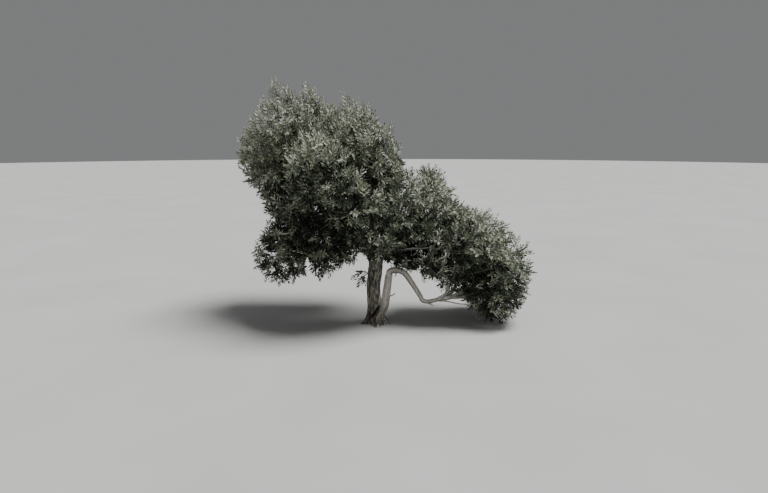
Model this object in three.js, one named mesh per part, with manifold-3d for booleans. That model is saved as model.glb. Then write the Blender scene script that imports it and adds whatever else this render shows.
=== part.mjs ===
// A small olive tree, about 2.9 m tall and 3.5 m wide, that leans its crown to both sides of a short trunk.
// The trunk stands on a flat cut at ground level, flares into its roots and forks at 0.8 m. A low limb leaves
// the trunk's foot on the right, rises, arches over and comes down again before it runs out into a lobe of
// foliage near the ground. Every limb ends where it enters a mass of foliage. A mass is one solid: a stem,
// twigs that branch from it by one seeded rule, and thin blades on them, each the size of a leafy shoot.
// Sizes are in millimetres, +Z is up, and the origin is the middle of the flat cut under the trunk.

import * as THREE from "three";
import { mergeVertices } from "three/addons/utils/BufferGeometryUtils.js";
import Module from "manifold-3d";

const wasm = await Module();
wasm.setup();

// Clearances. Solids that meet stay CLEAR apart, and foliage keeps WAY from limbs and from the next mass.
const CLEAR = 0.3;
const WAY = 5;
const FINEST = 0.05; // edges that cuts leave shorter than this are closed up

// The trunk: a waist between the flare at the ground and the swelling under the fork.
const TRUNK = {
  line: [
    [0, 0, 0],
    [0, 0, 45],
    [0, 0, 100],
    [-14, 0, 270],
    [-22, 4, 450],
    [-4, 6, 620],
    [4, 10, 810],
  ],
  waist: 76,
  flare: 88,
  flareHeight: 95,
  swelling: 12,
  ribs: 5,
  ribDepth: 0.22, // share of the radius at the ground
  ribsHigh: 0.22, // share of that depth left above the flare
  ribTwist: 2.2,
  sides: 16,
  rings: 11,
};

// Limbs, in the order in which they are made. A limb leaves `from` at the share `at` of its length, or runs
// on from its tip where `at` is 1. It passes the bends in `via`, and ends at `to` or where it enters the mass
// `into`. Its radii are those at its foot and tip.
const LIMBS = [
  { name: "bough_centre", from: "trunk", at: 1, into: "peak_right", radii: [58, 22],
    via: [[-30, 90, 1120], [-130, 120, 1480]] },
  { name: "bough_left", from: "trunk", at: 0.9, into: "peak_left", radii: [52, 20],
    via: [[-170, 20, 1040], [-430, 40, 1300], [-740, 10, 1680]] },
  { name: "bough_right", from: "trunk", at: 0.93, into: "right_mid", radii: [46, 19],
    via: [[110, -40, 1010], [215, -100, 1160]] },
  { name: "bough_front", from: "trunk", at: 0.86, into: "front_mid", radii: [40, 18],
    via: [[-90, -190, 1010], [-190, -360, 1230]] },
  { name: "bough_back", from: "trunk", at: 0.87, into: "back_low", radii: [40, 20],
    via: [[-110, 190, 960]] },
  { name: "arch_riser", from: "trunk", at: 0.13, to: [158, -67, 600], radii: [56, 44],
    via: [[92, -45, 215], [134, -55, 423]] },
  { name: "arch_fall", from: "arch_riser", at: 1, to: [540, -112, 338], radii: [40, 28],
    via: [[222, -74, 668], [324, -80, 647], [423, -90, 523]] },
  { name: "arch_run", from: "arch_fall", at: 1, into: "lobe_low", radii: [27, 18],
    via: [[605, -122, 296], [826, -135, 342]] },

  { name: "branch_flank_left", from: "bough_left", at: 0.66, into: "flank_left", radii: [25, 17],
    via: [[-810, -30, 1640]] },
  { name: "branch_low_left", from: "bough_left", at: 0.3, into: "low_left", radii: [29, 17],
    via: [[-470, -60, 1170]] },
  { name: "branch_skirt_left", from: "bough_left", at: 0.17, into: "skirt_left", radii: [27, 16],
    via: [[-420, -70, 1020]] },
  { name: "branch_peak_mid", from: "bough_left", at: 0.74, into: "peak_mid", radii: [24, 17],
    via: [[-700, 60, 1800]] },
  { name: "branch_back_left", from: "bough_left", at: 0.42, into: "back_left", radii: [27, 18],
    via: [[-700, 240, 1420]] },
  { name: "branch_back_peak", from: "bough_centre", at: 0.5, into: "back_peak", radii: [29, 19],
    via: [[-260, 300, 1500]] },
  { name: "branch_back_right", from: "bough_centre", at: 0.3, into: "back_right", radii: [27, 18],
    via: [[-10, 280, 1190]] },
  { name: "branch_shoulder", from: "bough_centre", at: 0.42, into: "shoulder", radii: [25, 17],
    via: [[-10, 40, 1420]] },
  { name: "branch_front_upper", from: "bough_front", at: 0.5, into: "front_upper", radii: [24, 17],
    via: [[-300, -400, 1400]] },
  { name: "branch_skirt_front", from: "bough_front", at: 0.2, into: "skirt_front", radii: [22, 15],
    via: [[-220, -290, 1070]] },
  { name: "branch_front_right", from: "bough_right", at: 0.14, into: "front_right", radii: [22, 15],
    via: [[60, -180, 980]] },
  { name: "branch_right_peak", from: "bough_right", at: 0.5, into: "right_peak", radii: [22, 15],
    via: [[330, -20, 1250]] },
  { name: "bough_level", from: "bough_right", at: 0.24, into: "right_inner", radii: [22, 15],
    via: [[230, -110, 905]] },
  { name: "branch_back_lobe", from: "bough_right", at: 0.36, into: "back_lobe", radii: [25, 17],
    via: [[300, 120, 1040]] },
  { name: "branch_lobe_inner", from: "arch_run", at: 0.36, into: "lobe_inner", radii: [20, 14],
    via: [[850, -170, 430]] },
  { name: "branch_lobe_outer", from: "arch_run", at: 0.48, into: "lobe_outer", radii: [21, 15],
    via: [[972, -140, 394], [1193, -120, 546]] },
  { name: "branch_lobe_top", from: "arch_run", at: 0.42, into: "lobe_top", radii: [21, 15],
    via: [[900, -90, 410], [1010, -60, 570]] },
  { name: "branch_lobe_back", from: "arch_run", at: 0.54, into: "lobe_back", radii: [20, 14],
    via: [[980, 30, 335]] },
  { name: "branch_skirt_right", from: "bough_right", at: 0.12, into: "skirt_right", radii: [21, 14],
    via: [[130, 10, 880]] },
  { name: "branch_skirt_fork", from: "bough_front", at: 0.16, into: "skirt_fork", radii: [21, 14],
    via: [[-160, -190, 915]] },
];

// Masses of foliage: the middle and the half sizes of the rounded space that each keeps to. `hang` tips a
// mass's shoots down, as on the skirts under the crown. `onTrunk` is the share of the trunk's length at which
// a sprout leaves it with no bough. `seed` picks a mass's run of places, where its own row's number doesn't.
const MASSES = [
  { name: "peak_left", middle: [-1105, -60, 2420], half: [310, 340, 520] },
  { name: "peak_mid", middle: [-741, 100, 2418], half: [240, 330, 466] },
  { name: "peak_right", middle: [-271, 0, 2257], half: [334, 380, 519] },
  { name: "shoulder", middle: [62, -40, 1945], half: [240, 330, 450] },
  { name: "flank_left", middle: [-1320, 0, 1950], half: [310, 380, 440] },
  { name: "low_left", middle: [-1050, -150, 1280], half: [300, 400, 382] },
  { name: "skirt_left", middle: [-1104, -100, 832], half: [353, 330, 350], hang: 0.7 },
  { name: "front_upper", middle: [-624, -620, 1897], half: [360, 340, 400] },
  { name: "front_mid", middle: [-317, -680, 1510], half: [350, 330, 350] },
  { name: "skirt_front", middle: [-596, -430, 1011], half: [260, 300, 380], hang: 0.7 },
  { name: "front_right", middle: [9, -430, 1195], half: [311, 300, 375] },
  { name: "right_mid", middle: [339, -150, 1475], half: [299, 340, 414] },
  { name: "right_peak", middle: [678, 60, 1524], half: [272, 300, 414] },
  { name: "right_inner", middle: [554, -120, 960], half: [304, 300, 325] },
  { name: "lobe_top", middle: [1137, -40, 1049], half: [378, 380, 366], seed: 41 },
  { name: "lobe_outer", middle: [1562, 0, 745], half: [345, 400, 467] },
  { name: "lobe_low", middle: [1413, -80, 353], half: [335, 380, 335], hang: 0.3 },
  { name: "lobe_inner", middle: [932, -140, 684], half: [306, 300, 317] },
  { name: "back_left", middle: [-1220, 620, 1712], half: [394, 380, 600] },
  { name: "back_peak", middle: [-648, 640, 2063], half: [455, 400, 600] },
  { name: "back_right", middle: [-30, 600, 1562], half: [432, 380, 560] },
  { name: "back_low", middle: [-744, 520, 1000], half: [480, 400, 400], hang: 0.4 },
  { name: "back_lobe", middle: [903, 430, 1048], half: [478, 300, 430] },
  { name: "lobe_back", middle: [1397, 420, 482], half: [408, 300, 440], hang: 0.2 },
  { name: "trunk_sprout", middle: [-190, -90, 570], half: [115, 100, 145], hang: 0.8, onTrunk: 0.76 },
  { name: "skirt_right", middle: [285, -20, 880], half: [250, 260, 190], hang: 0.5 },
  { name: "skirt_fork", middle: [-285, -270, 935], half: [215, 220, 155], hang: 0.5 },
];

// The rule by which every mass branches. Lengths are for a mass of the usual size, and go with its size.
const RULE = {
  usualSize: 350, // mean half size of a mass in which lengths are as named here
  entry: 0.8, // share of the mass's half size at which its limb ends
  stemShare: 0.45, // how far past the middle the stem runs
  innerShell: 0.55, // shoots end between this share of the half size and the outer one
  outerShell: 0.99,
  limit: 1.1, // no leaf is further out than this share
  places: 300, // places in the shell where a shoot may end
  run: 29, // how far apart in the spread the runs of places of two masses start
  shoots: 5.6, // shoots for each square metre of the mass's outer surface
  reachBack: 0.3, // how strongly a twig prefers wood near the stem's foot
  turn: 0.35, // how strongly it prefers wood that points its way
  short: 2, // how strongly it avoids wood nearer than the length that it wants, and wood further off
  long: 1,
  lift: 0.1, // how far a twig bows upwards, as a share of its length
  acute: 0.25, // how far a twig first follows the wood that it leaves
  step: 26, // spacing of the points on older wood, each of which carries one twig at most
};
const SPROUT = { foot: 10, rise: 40 }; // the radius at its foot, and how steeply it leaves the trunk
const STEM = { tip: 9, lead: 40, sides: 4, stops: [0, 0.35, 0.7, 1] };

// A shoot is a three-sided twig with whorls of three blades near its end, and one more blade on its tip. A
// blade stands for a spray of leaves, so it is far larger than a leaf.
const TWIG = { wanted: 420, foot: 0.5, node: 5.5, bare: 45 }; // its foot is a share of its carrier's radius
const WHORLS = { most: 3, apart: 90, angle: 0.8, rise: 7, lengths: [1, 0.78] };
const BLADE = { length: 300, least: 160, width: 0.48, thickness: 0.028, widest: 0.42 }; // shares of length

const BARK = new THREE.MeshStandardMaterial({ name: "bark", color: 0x6b6257, roughness: 0.92, metalness: 0 });
const LEAF = new THREE.MeshStandardMaterial({ name: "leaf", color: 0x66704f, roughness: 0.6, metalness: 0 });

const vec = (p) => new THREE.Vector3(...p);
const fraction = (x) => x - Math.floor(x);

const evenStops = (count) => Array.from({ length: count + 1 }, (_, i) => i / count);

// A closed tube along a curve: a cylinder bent to follow it, with a ring at each stop, and the end rings
// pushed `past` the curve's ends. radiusAt gives the radius at a share of the length and an angle round it.
const FRAMES = 24;
function tube(curve, radiusAt, sides, stops, past = 0) {
  const geometry = new THREE.CylinderGeometry(1, 1, 1, sides, stops.length - 1);
  const { tangents, normals, binormals } = curve.computeFrenetFrames(FRAMES);
  const place = geometry.getAttribute("position");
  const at = new THREE.Vector3();
  for (let i = 0; i < place.count; i++) {
    at.fromBufferAttribute(place, i);
    const { x, z } = at;
    const share = stops[Math.round((at.y + 0.5) * (stops.length - 1))];
    const frame = Math.round(share * FRAMES);
    const radius = radiusAt(share, Math.atan2(x, z));
    at.copy(curve.getPointAt(share))
      .addScaledVector(binormals[frame], x * radius)
      .addScaledVector(normals[frame], z * radius)
      .addScaledVector(tangents[frame], share === 1 ? past : share === 0 ? -past : 0);
    place.setXYZ(i, at.x, at.y, at.z);
  }
  return geometry;
}

// The solid inside a closed geometry, and the geometry of a solid.
function solidOf(geometry) {
  geometry.deleteAttribute("normal");
  geometry.deleteAttribute("uv");
  const merged = mergeVertices(geometry, 1e-3);
  return new wasm.Manifold(
    new wasm.Mesh({
      numProp: 3,
      vertProperties: new Float32Array(merged.getAttribute("position").array),
      triVerts: new Uint32Array(merged.index.array),
    }),
  );
}

function geometryOf(solid) {
  const made = solid.getMesh();
  const geometry = new THREE.BufferGeometry();
  geometry.setAttribute("position", new THREE.BufferAttribute(made.vertProperties, 3));
  geometry.setIndex(new THREE.BufferAttribute(made.triVerts, 1));
  return geometry;
}

// Whether every corner of a solid stays apart from the others when it is rounded.
const cornersOf = (geometry) => geometry.getAttribute("position").count;
const isSound = (solid) => cornersOf(mergeVertices(geometryOf(solid), FINEST)) === solid.numVert();

const largest = (solid) => solid.decompose().reduce((a, b) => (b.volume() > a.volume() ? b : a));
const touching = (a, b) => a.min.every((low, k) => low <= b.max[k] && b.min[k] <= a.max[k]);

// The trunk's radius at a share of its height and an angle round it.
function trunkRadius(share, angle) {
  const height = share * TRUNK.line.at(-1)[2];
  const flare = Math.exp(-height / TRUNK.flareHeight);
  const broad = Math.cos(TRUNK.ribs * angle + TRUNK.ribTwist * share);
  const ribs = broad + 0.5 * Math.cos((TRUNK.ribs - 2) * angle - 1.1);
  const depth = TRUNK.ribDepth * (TRUNK.ribsHigh + (1 - TRUNK.ribsHigh) * flare);
  return (TRUNK.waist + TRUNK.swelling * share ** 4 + TRUNK.flare * flare) * (1 + depth * ribs);
}

// Lengths and directions in a mass's own rounded space.
const shareOf = (mass, p) => Math.hypot(...mass.half.map((h, k) => (p.getComponent(k) - mass.middle[k]) / h));
const radiusAlong = (mass, d) => 1 / Math.hypot(d.x / mass.half[0], d.y / mass.half[1], d.z / mass.half[2]);

// The planes that part a mass from its neighbours. Each lies between two middles, where the two spaces meet.
function wallsOf(mass) {
  const { middle, half } = mass;
  const meets = (other) => half.every((h, k) => Math.abs(middle[k] - other.middle[k]) < h + other.half[k]);
  return MASSES.filter((other) => other !== mass && meets(other)).map((other) => {
    const out = vec(other.middle).sub(vec(middle));
    const apart = out.length();
    out.normalize();
    const own = radiusAlong(mass, out);
    const share = own / (own + radiusAlong(other, out));
    return { out, reach: vec(middle).dot(out) + apart * share - WAY };
  });
}

const inSpace = (mass, p) =>
  shareOf(mass, p) < RULE.limit && p.z > WAY && mass.walls.every(({ out, reach }) => p.dot(out) < reach);

// Where a limb ends: on the line from its last bend to the mass's middle, inside the mass's space.
function entryOf(mass, bend) {
  const middle = vec(mass.middle);
  const back = bend.clone().sub(middle);
  let share = Math.min(0.9, RULE.entry / shareOf(mass, bend));
  while (!inSpace(mass, middle.clone().addScaledVector(back, share))) {
    share *= 0.95;
  }
  return middle.addScaledVector(back, share);
}

// A limb's curve, and its radius by share of length.
const LIMB = { sides: 6, ringSpacing: 140, taper: 0.8 };
function layOut(limb, made) {
  const parent = made.get(limb.from);
  const points = [];
  if (limb.at === 1) {
    const start = parent.tip.clone().addScaledVector(parent.heading, CLEAR);
    points.push(start, start.clone().addScaledVector(parent.heading, 1.2 * limb.radii[0]));
  } else {
    points.push(parent.curve.getPointAt(limb.at));
  }
  points.push(...limb.via.map(vec));
  const mass = MASSES.find((row) => row.name === limb.into);
  points.push(mass ? entryOf(mass, points.at(-1)) : vec(limb.to));
  const curve = new THREE.CatmullRomCurve3(points);
  const [foot, tip] = limb.radii;
  return {
    name: limb.name,
    curve,
    radius: (share) => foot + (tip - foot) * share ** LIMB.taper,
    tip: points.at(-1),
    heading: points.at(-1).clone().sub(points.at(-2)).normalize(),
    sides: LIMB.sides,
    stops: evenStops(Math.max(3, Math.round(curve.getLength() / LIMB.ringSpacing))),
  };
}

// A laid-out limb as a solid, swollen all over by `more`.
function limbSolid(limb, more = 0) {
  const swollen = (share, angle) => limb.radius(share, angle) + more;
  return solidOf(tube(limb.curve, swollen, limb.sides, limb.stops, more));
}

function makeLimbs() {
  const line = new THREE.CatmullRomCurve3(TRUNK.line.map(vec));
  const made = new Map();
  made.set("trunk", {
    name: "trunk",
    curve: line,
    radius: trunkRadius,
    tip: vec(TRUNK.line.at(-1)),
    heading: line.getTangentAt(1),
    sides: TRUNK.sides,
    stops: evenStops(TRUNK.rings),
  });
  made.get("trunk").solid = limbSolid(made.get("trunk"));
  for (const row of LIMBS) {
    const limb = layOut(row, made);
    let solid = limbSolid(limb);
    for (const older of made.values()) {
      if (!touching(older.solid.boundingBox(), solid.boundingBox())) continue;
      if (row.at === 1 && row.from === older.name) continue;
      solid = solid.subtract(limbSolid(older, CLEAR));
    }
    limb.solid = largest(solid).simplify(FINEST);
    made.set(limb.name, limb);
  }
  return made;
}

// Points along every limb with the radius there, to keep foliage off the wood.
const WOOD_SPACING = 12;
function woodPoints(limbs) {
  return [...limbs.values()].flatMap((limb) => {
    const steps = Math.ceil(limb.curve.getLength() / WOOD_SPACING);
    return Array.from({ length: steps + 1 }, (_, i) => ({
      at: limb.curve.getPointAt(i / steps),
      radius: limb.radius(i / steps, 0),
    }));
  });
}

// Whether a line with something `halfWidth` wide on each side of it passes every limb.
function offWood(wood, from, to, halfWidth) {
  const line = new THREE.Line3(from, to);
  const nearest = new THREE.Vector3();
  return wood.every(({ at, radius }) => {
    line.closestPointToPoint(at, true, nearest);
    return nearest.distanceTo(at) > radius + halfWidth + WAY;
  });
}

// The places where shoots of a mass may end: its six furthest points, then points spread evenly in its
// shell, by steps of the three fractions that spread points best in a box.
const SPREAD = [0.8191725134, 0.6710436067, 0.5497004779];
function shootEnds(mass) {
  const places = [];
  for (const sign of [1, -1]) {
    places.push([0, 0, sign], [sign, 0, 0], [0, sign, 0]);
  }
  const inner = (RULE.innerShell / RULE.outerShell) ** 3;
  for (let k = 0; k < RULE.places; k++) {
    const n = k + RULE.run * (mass.seed ?? mass.index);
    const [turn, rise, depth] = SPREAD.map((step) => fraction(0.5 + n * step));
    const out = Math.cbrt(inner + (1 - inner) * depth);
    const flat = Math.sqrt(1 - (1 - 2 * rise) ** 2);
    const around = 2 * Math.PI * turn;
    places.push([flat * Math.cos(around), flat * Math.sin(around), 1 - 2 * rise].map((u) => u * out));
  }
  return places
    .map((unit) => vec(unit.map((u, i) => mass.middle[i] + mass.half[i] * RULE.outerShell * u)))
    .filter((at) => inSpace(mass, at))
    .map((at) => ({ at, room: Infinity }));
}

// A solid from corner points and the faces between them.
const solidFrom = (points, faces) =>
  new wasm.Manifold(
    new wasm.Mesh({
      numProp: 3,
      vertProperties: new Float32Array(points.flatMap((p) => p.toArray())),
      triVerts: new Uint32Array(faces.flat()),
    }),
  );

// A blade's corners beyond its root: its two edges, the ridge between them, and its tip.
function bladeCorners(root, out, across, up, length) {
  const middle = root.clone().addScaledVector(out, BLADE.widest * length);
  return [
    middle.clone().addScaledVector(across, (-BLADE.width * length) / 2),
    middle.clone().addScaledVector(across, (BLADE.width * length) / 2),
    middle.clone().addScaledVector(up, BLADE.thickness * length),
    root.clone().addScaledVector(out, length),
  ];
}

// Whether a blade keeps to the mass's space, off the limbs and clear of what has grown.
function bladeFits(mass, wood, whole, root, corners) {
  if (!corners.every((corner) => inSpace(mass, corner))) return false;
  if (!offWood(wood, root, corners[3], corners[0].distanceTo(corners[1]) / 2)) return false;
  const faces = [[0, 2, 1], [1, 2, 4], [0, 1, 3], [0, 3, 2], [1, 4, 3], [3, 4, 2]];
  return whole.intersect(solidFrom([root, ...corners], faces)).isEmpty();
}

// A shoot along a curve, as a solid, and the corners of its blades. Each whorl lies between two rings of
// three points, with a blade on each side of the twig between them where one fits.
function growShoot(mass, wood, whole, curve, foot) {
  const { scale } = mass;
  const length = curve.getLength();
  const last = Math.min(BLADE.length * scale, length - 2 * TWIG.bare * scale);
  if (last < BLADE.least * scale) return null;
  const { tangents, normals, binormals } = curve.computeFrenetFrames(FRAMES);
  const points = [];
  const faces = [];
  const blades = [];

  const aside = (frame, angle) =>
    normals[frame].clone().multiplyScalar(Math.cos(angle)).addScaledVector(binormals[frame], Math.sin(angle));
  const third = (2 * Math.PI) / 3;
  const ring = (share, wide, deep, turn) => {
    const frame = Math.round(share * FRAMES);
    for (let k = 0; k < 3; k++) {
      const corner = curve.getPointAt(share).addScaledVector(aside(frame, turn), deep * Math.cos(k * third));
      points.push(corner.addScaledVector(aside(frame, turn + Math.PI / 2), wide * Math.sin(k * third)));
    }
    return points.length - 3;
  };
  const sideFaces = (low, high, k) => {
    const next = (k + 1) % 3;
    faces.push([low + k, low + next, high + next], [low + k, high + next, high + k]);
  };
  const bladeFaces = (low, high, k, corners) => {
    const [a, b, c, d] = [low + k, low + ((k + 1) % 3), high + ((k + 1) % 3), high + k];
    const [left, right, ridge, tip] = corners.map((_, i) => points.length + i);
    points.push(...corners);
    blades.push(corners);
    faces.push([a, b, right], [a, right, left], [left, right, tip], [a, left, d], [b, c, right]);
    faces.push([d, left, ridge], [d, ridge, c], [c, ridge, right], [left, tip, ridge], [ridge, tip, right]);
  };

  let below = ring(0, foot, foot, 0);
  faces.push([below, below + 2, below + 1]);
  for (let i = WHORLS.most - 1; i >= 0; i--) {
    const at = length - last - i * WHORLS.apart * scale;
    if (at < TWIG.bare * scale) continue;
    const share = at / length;
    const frame = Math.round(share * FRAMES);
    const radius = TWIG.node * scale;
    const bladeAt = (angle) => {
      const away = aside(frame, angle);
      const across = aside(frame, angle + Math.PI / 2);
      const out = tangents[frame].clone().multiplyScalar(Math.cos(WHORLS.angle));
      out.addScaledVector(away, Math.sin(WHORLS.angle));
      const up = out.clone().cross(across);
      const root = curve.getPointAt(share).addScaledVector(away, radius / 2);
      return WHORLS.lengths
        .map((size) => bladeCorners(root, out, across, up, size * BLADE.length * scale))
        .find((corners) => bladeFits(mass, wood, whole, root, corners));
    };
    const whorls = [0, 1, 2, 3].map((n) => {
      const turn = (i * Math.PI) / 3 + (n * third) / 4;
      return { turn, corners: [0, 1, 2].map((k) => bladeAt(turn + (k + 0.5) * third)) };
    });
    const count = (whorl) => whorl.corners.filter(Boolean).length;
    const { turn, corners } = whorls.reduce((best, whorl) => (count(whorl) > count(best) ? whorl : best));
    if (!corners.some(Boolean)) continue;
    const low = ring(share, radius, radius, turn);
    const high = ring(share + (WHORLS.rise * scale) / length, radius, radius, turn);
    for (let k = 0; k < 3; k++) {
      sideFaces(below, low, k);
      if (corners[k]) bladeFaces(low, high, k, corners[k]);
      else sideFaces(low, high, k);
    }
    below = high;
  }
  const neck = points[below].clone().add(points[below + 1]).add(points[below + 2]).divideScalar(3);
  const widestAt = 1 - (last * (1 - BLADE.widest)) / length;
  const widest = ring(widestAt, (BLADE.width * last) / Math.sqrt(3), (BLADE.thickness * last) / 1.5, 0);
  points.push(curve.getPointAt(1));
  for (let k = 0; k < 3; k++) {
    sideFaces(below, widest, k);
    faces.push([widest + k, widest + ((k + 1) % 3), widest + 3]);
  }
  const corners = points.slice(widest);
  if (!corners.every((corner) => inSpace(mass, corner))) return null;
  if (!offWood(wood, neck, corners[3], (BLADE.width * last) / 2)) return null;
  blades.push(corners);
  return { solid: solidFrom(points, faces), blades };
}

// The stem of a mass runs on from its limb's tip, through the middle and a little further. A sprout's stem is
// laid out from inside the trunk.
function stemOf(mass, limb) {
  const middle = vec(mass.middle);
  let heading = limb.heading;
  let foot = limb.tip.clone().addScaledVector(heading, CLEAR);
  if (mass.onTrunk) {
    foot = limb.curve.getPointAt(mass.onTrunk);
    heading = middle.clone().sub(foot).setZ(SPROUT.rise).normalize();
  }
  const on = middle.clone().sub(foot).normalize();
  on.z += mass.hang ? -mass.hang : 0.5;
  on.normalize();
  const end = middle.clone().addScaledVector(on, radiusAlong(mass, on) * RULE.stemShare);
  while (!inSpace(mass, end)) {
    end.lerp(middle, 0.1);
  }
  const lead = foot.clone().addScaledVector(heading, mass.onTrunk ? TRUNK.waist : STEM.lead);
  const half = lead.clone().lerp(end, 0.5).lerp(middle, 0.4);
  const radius = mass.onTrunk ? SPROUT.foot : limb.radius(1, 0);
  return { curve: new THREE.CatmullRomCurve3([foot, lead, half, end]), foot: radius };
}

// Points on the wood that a twig may grow from, with its radius and how far each is from the mass's foot.
function growingPoints(curve, radii, before, from, to) {
  const length = curve.getLength();
  const count = Math.max(1, Math.round((length * (to - from)) / RULE.step));
  return Array.from({ length: count + 1 }, (_, i) => {
    const share = Math.min(1, from + ((to - from) * i) / count);
    return {
      at: curve.getPointAt(share),
      heading: curve.getTangentAt(share),
      radius: THREE.MathUtils.lerp(...radii, share),
      path: before + length * share,
    };
  });
}

// The free point on the wood from which growing to `end` costs least: one near the stem's foot that points
// that way, and is about as far off as a twig is wanted to be long.
function carrierOf(mass, wood, end) {
  let best = null;
  for (const point of wood) {
    if (point.used) continue;
    const way = end.clone().sub(point.at);
    const far = way.length();
    const turn = 1 - way.dot(point.heading) / far;
    const miss = far - TWIG.wanted * mass.scale;
    const missed = Math.max(-RULE.short * miss, RULE.long * miss);
    const cost = missed + RULE.turn * turn * far + RULE.reachBack * point.path;
    if (!best || cost < best.cost) best = { cost, point };
  }
  return best.point;
}

// A twig first follows the wood that it leaves, then bows up or down towards its end.
function twigCurve(mass, { at, heading }, end) {
  const far = at.distanceTo(end);
  const lift = RULE.lift * far * (mass.hang ? -mass.hang : 1);
  const bend = at.clone().lerp(end, 0.5).lerp(at.clone().addScaledVector(heading, far * 0.5), RULE.acute);
  return new THREE.QuadraticBezierCurve3(at, bend.add(new THREE.Vector3(0, 0, -lift)), end);
}

// The surface of a mass's rounded space, from its half sizes, by a power mean that is about 1 % off at most.
function surfaceOf([a, b, c]) {
  const power = 1.6;
  const mean = ((a * b) ** power + (a * c) ** power + (b * c) ** power) / 3;
  return 4 * Math.PI * mean ** (1 / power);
}

// A mass grows from its stem. Each new shoot ends at the place in the shell that is emptiest. A shoot is
// skipped if it leaves the mass's space, comes near a limb, or crosses what has grown and so closes a ring.
function makeMass(mass, limb, wood) {
  const stem = stemOf(mass, limb);
  const stemRadii = [stem.foot, STEM.tip * mass.scale];
  const stemRadius = (share) => THREE.MathUtils.lerp(...stemRadii, share);
  const older = growingPoints(stem.curve, stemRadii, 0, 0.15, 1);
  const places = shootEnds(mass);
  let wanted = Math.round((RULE.shoots * surfaceOf(mass.half)) / (1e6 * mass.scale));
  let whole = solidOf(tube(stem.curve, stemRadius, STEM.sides, STEM.stops));
  if (mass.onTrunk) whole = largest(whole.subtract(limbSolid(limb, CLEAR))).simplify(FINEST);

  while (wanted > 0 && places.length > 0) {
    const emptiest = places.reduce((best, place, i) => (place.room > places[best].room ? i : best), 0);
    const [{ at: end }] = places.splice(emptiest, 1);
    const carrier = carrierOf(mass, older, end);
    const curve = twigCurve(mass, carrier, end);
    const foot = TWIG.foot * carrier.radius;
    const middle = curve.getPointAt(0.3);
    if (!inSpace(mass, middle) || !offWood(wood, middle, curve.getPointAt(0.4), foot)) continue;
    const shoot = growShoot(mass, wood, whole, curve, foot);
    if (!shoot) continue;
    const joined = whole.add(shoot.solid).simplify(FINEST);
    if (joined.genus() !== 0 || !isSound(joined)) continue;
    whole = joined;
    wanted -= 1;
    carrier.used = true;
    older.push(...growingPoints(curve, [foot, TWIG.node * mass.scale], carrier.path, 0.15, 0.5));
    const filled = shoot.blades.flatMap(([left, right, , tip]) => [left, right, tip]);
    for (const place of places) {
      place.room = Math.min(place.room, ...filled.map((corner) => place.at.distanceTo(corner)));
    }
  }
  return largest(whole);
}

// The tree: trunk and boughs in one group, foliage in another, each mesh placed at its own foot or middle.
function meshOf(name, solid, origin, material) {
  const mesh = new THREE.Mesh(geometryOf(solid).translate(-origin.x, -origin.y, -origin.z), material);
  mesh.name = name;
  mesh.position.copy(origin);
  return mesh;
}

MASSES.forEach((mass, index) => {
  const mean = Math.cbrt(mass.half[0] * mass.half[1] * mass.half[2]);
  Object.assign(mass, { index, walls: wallsOf(mass), scale: Math.min(1.15, mean / RULE.usualSize) });
});
const limbs = makeLimbs();
const wood = woodPoints(limbs);

const tree = new THREE.Group();
const woody = new THREE.Group();
const leafy = new THREE.Group();
tree.add(woody, leafy);
for (const limb of limbs.values()) woody.add(meshOf(limb.name, limb.solid, limb.curve.getPointAt(0), BARK));
for (const mass of MASSES) {
  const carrier = limbs.get(mass.onTrunk ? "trunk" : LIMBS.find((row) => row.into === mass.name).name);
  const solid = makeMass(mass, carrier, wood);
  leafy.add(meshOf(`foliage_${mass.name}`, solid, vec(mass.middle), LEAF));
}

export default tree;
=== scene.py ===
import math

import bmesh
import bpy
import numpy as np
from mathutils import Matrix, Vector, kdtree, noise


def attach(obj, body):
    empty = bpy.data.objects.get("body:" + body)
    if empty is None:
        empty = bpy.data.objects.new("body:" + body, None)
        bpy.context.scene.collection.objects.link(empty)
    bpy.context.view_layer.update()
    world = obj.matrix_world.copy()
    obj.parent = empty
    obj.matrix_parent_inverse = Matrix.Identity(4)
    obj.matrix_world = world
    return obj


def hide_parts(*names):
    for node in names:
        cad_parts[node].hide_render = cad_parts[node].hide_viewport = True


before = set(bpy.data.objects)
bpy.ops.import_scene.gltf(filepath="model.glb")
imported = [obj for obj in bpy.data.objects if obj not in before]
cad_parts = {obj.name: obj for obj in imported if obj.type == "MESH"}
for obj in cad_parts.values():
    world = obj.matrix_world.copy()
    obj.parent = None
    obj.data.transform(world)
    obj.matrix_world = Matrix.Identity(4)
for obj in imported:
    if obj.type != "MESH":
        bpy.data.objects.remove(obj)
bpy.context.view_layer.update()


# The trunk: one short stem of hard, close-grained wood. It stands on its root flare, cut level with the ground,
# leans a little to the left and back again, and forks 0.8 m up. Five roots show as ribs in the flare.
def unit(v):
    return v / np.linalg.norm(v, axis=-1, keepdims=True)


def marks_of(line):
    """How far along a line each of its points is, in metres."""
    return np.append(0, np.cumsum(np.linalg.norm(np.diff(line, axis=0), axis=1)))


def between(where, marks, line):
    """The places on a line, or the values of its rows, at some marks."""
    return np.stack([np.interp(where, marks, line[:, k]) for k in range(3)], -1)


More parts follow.
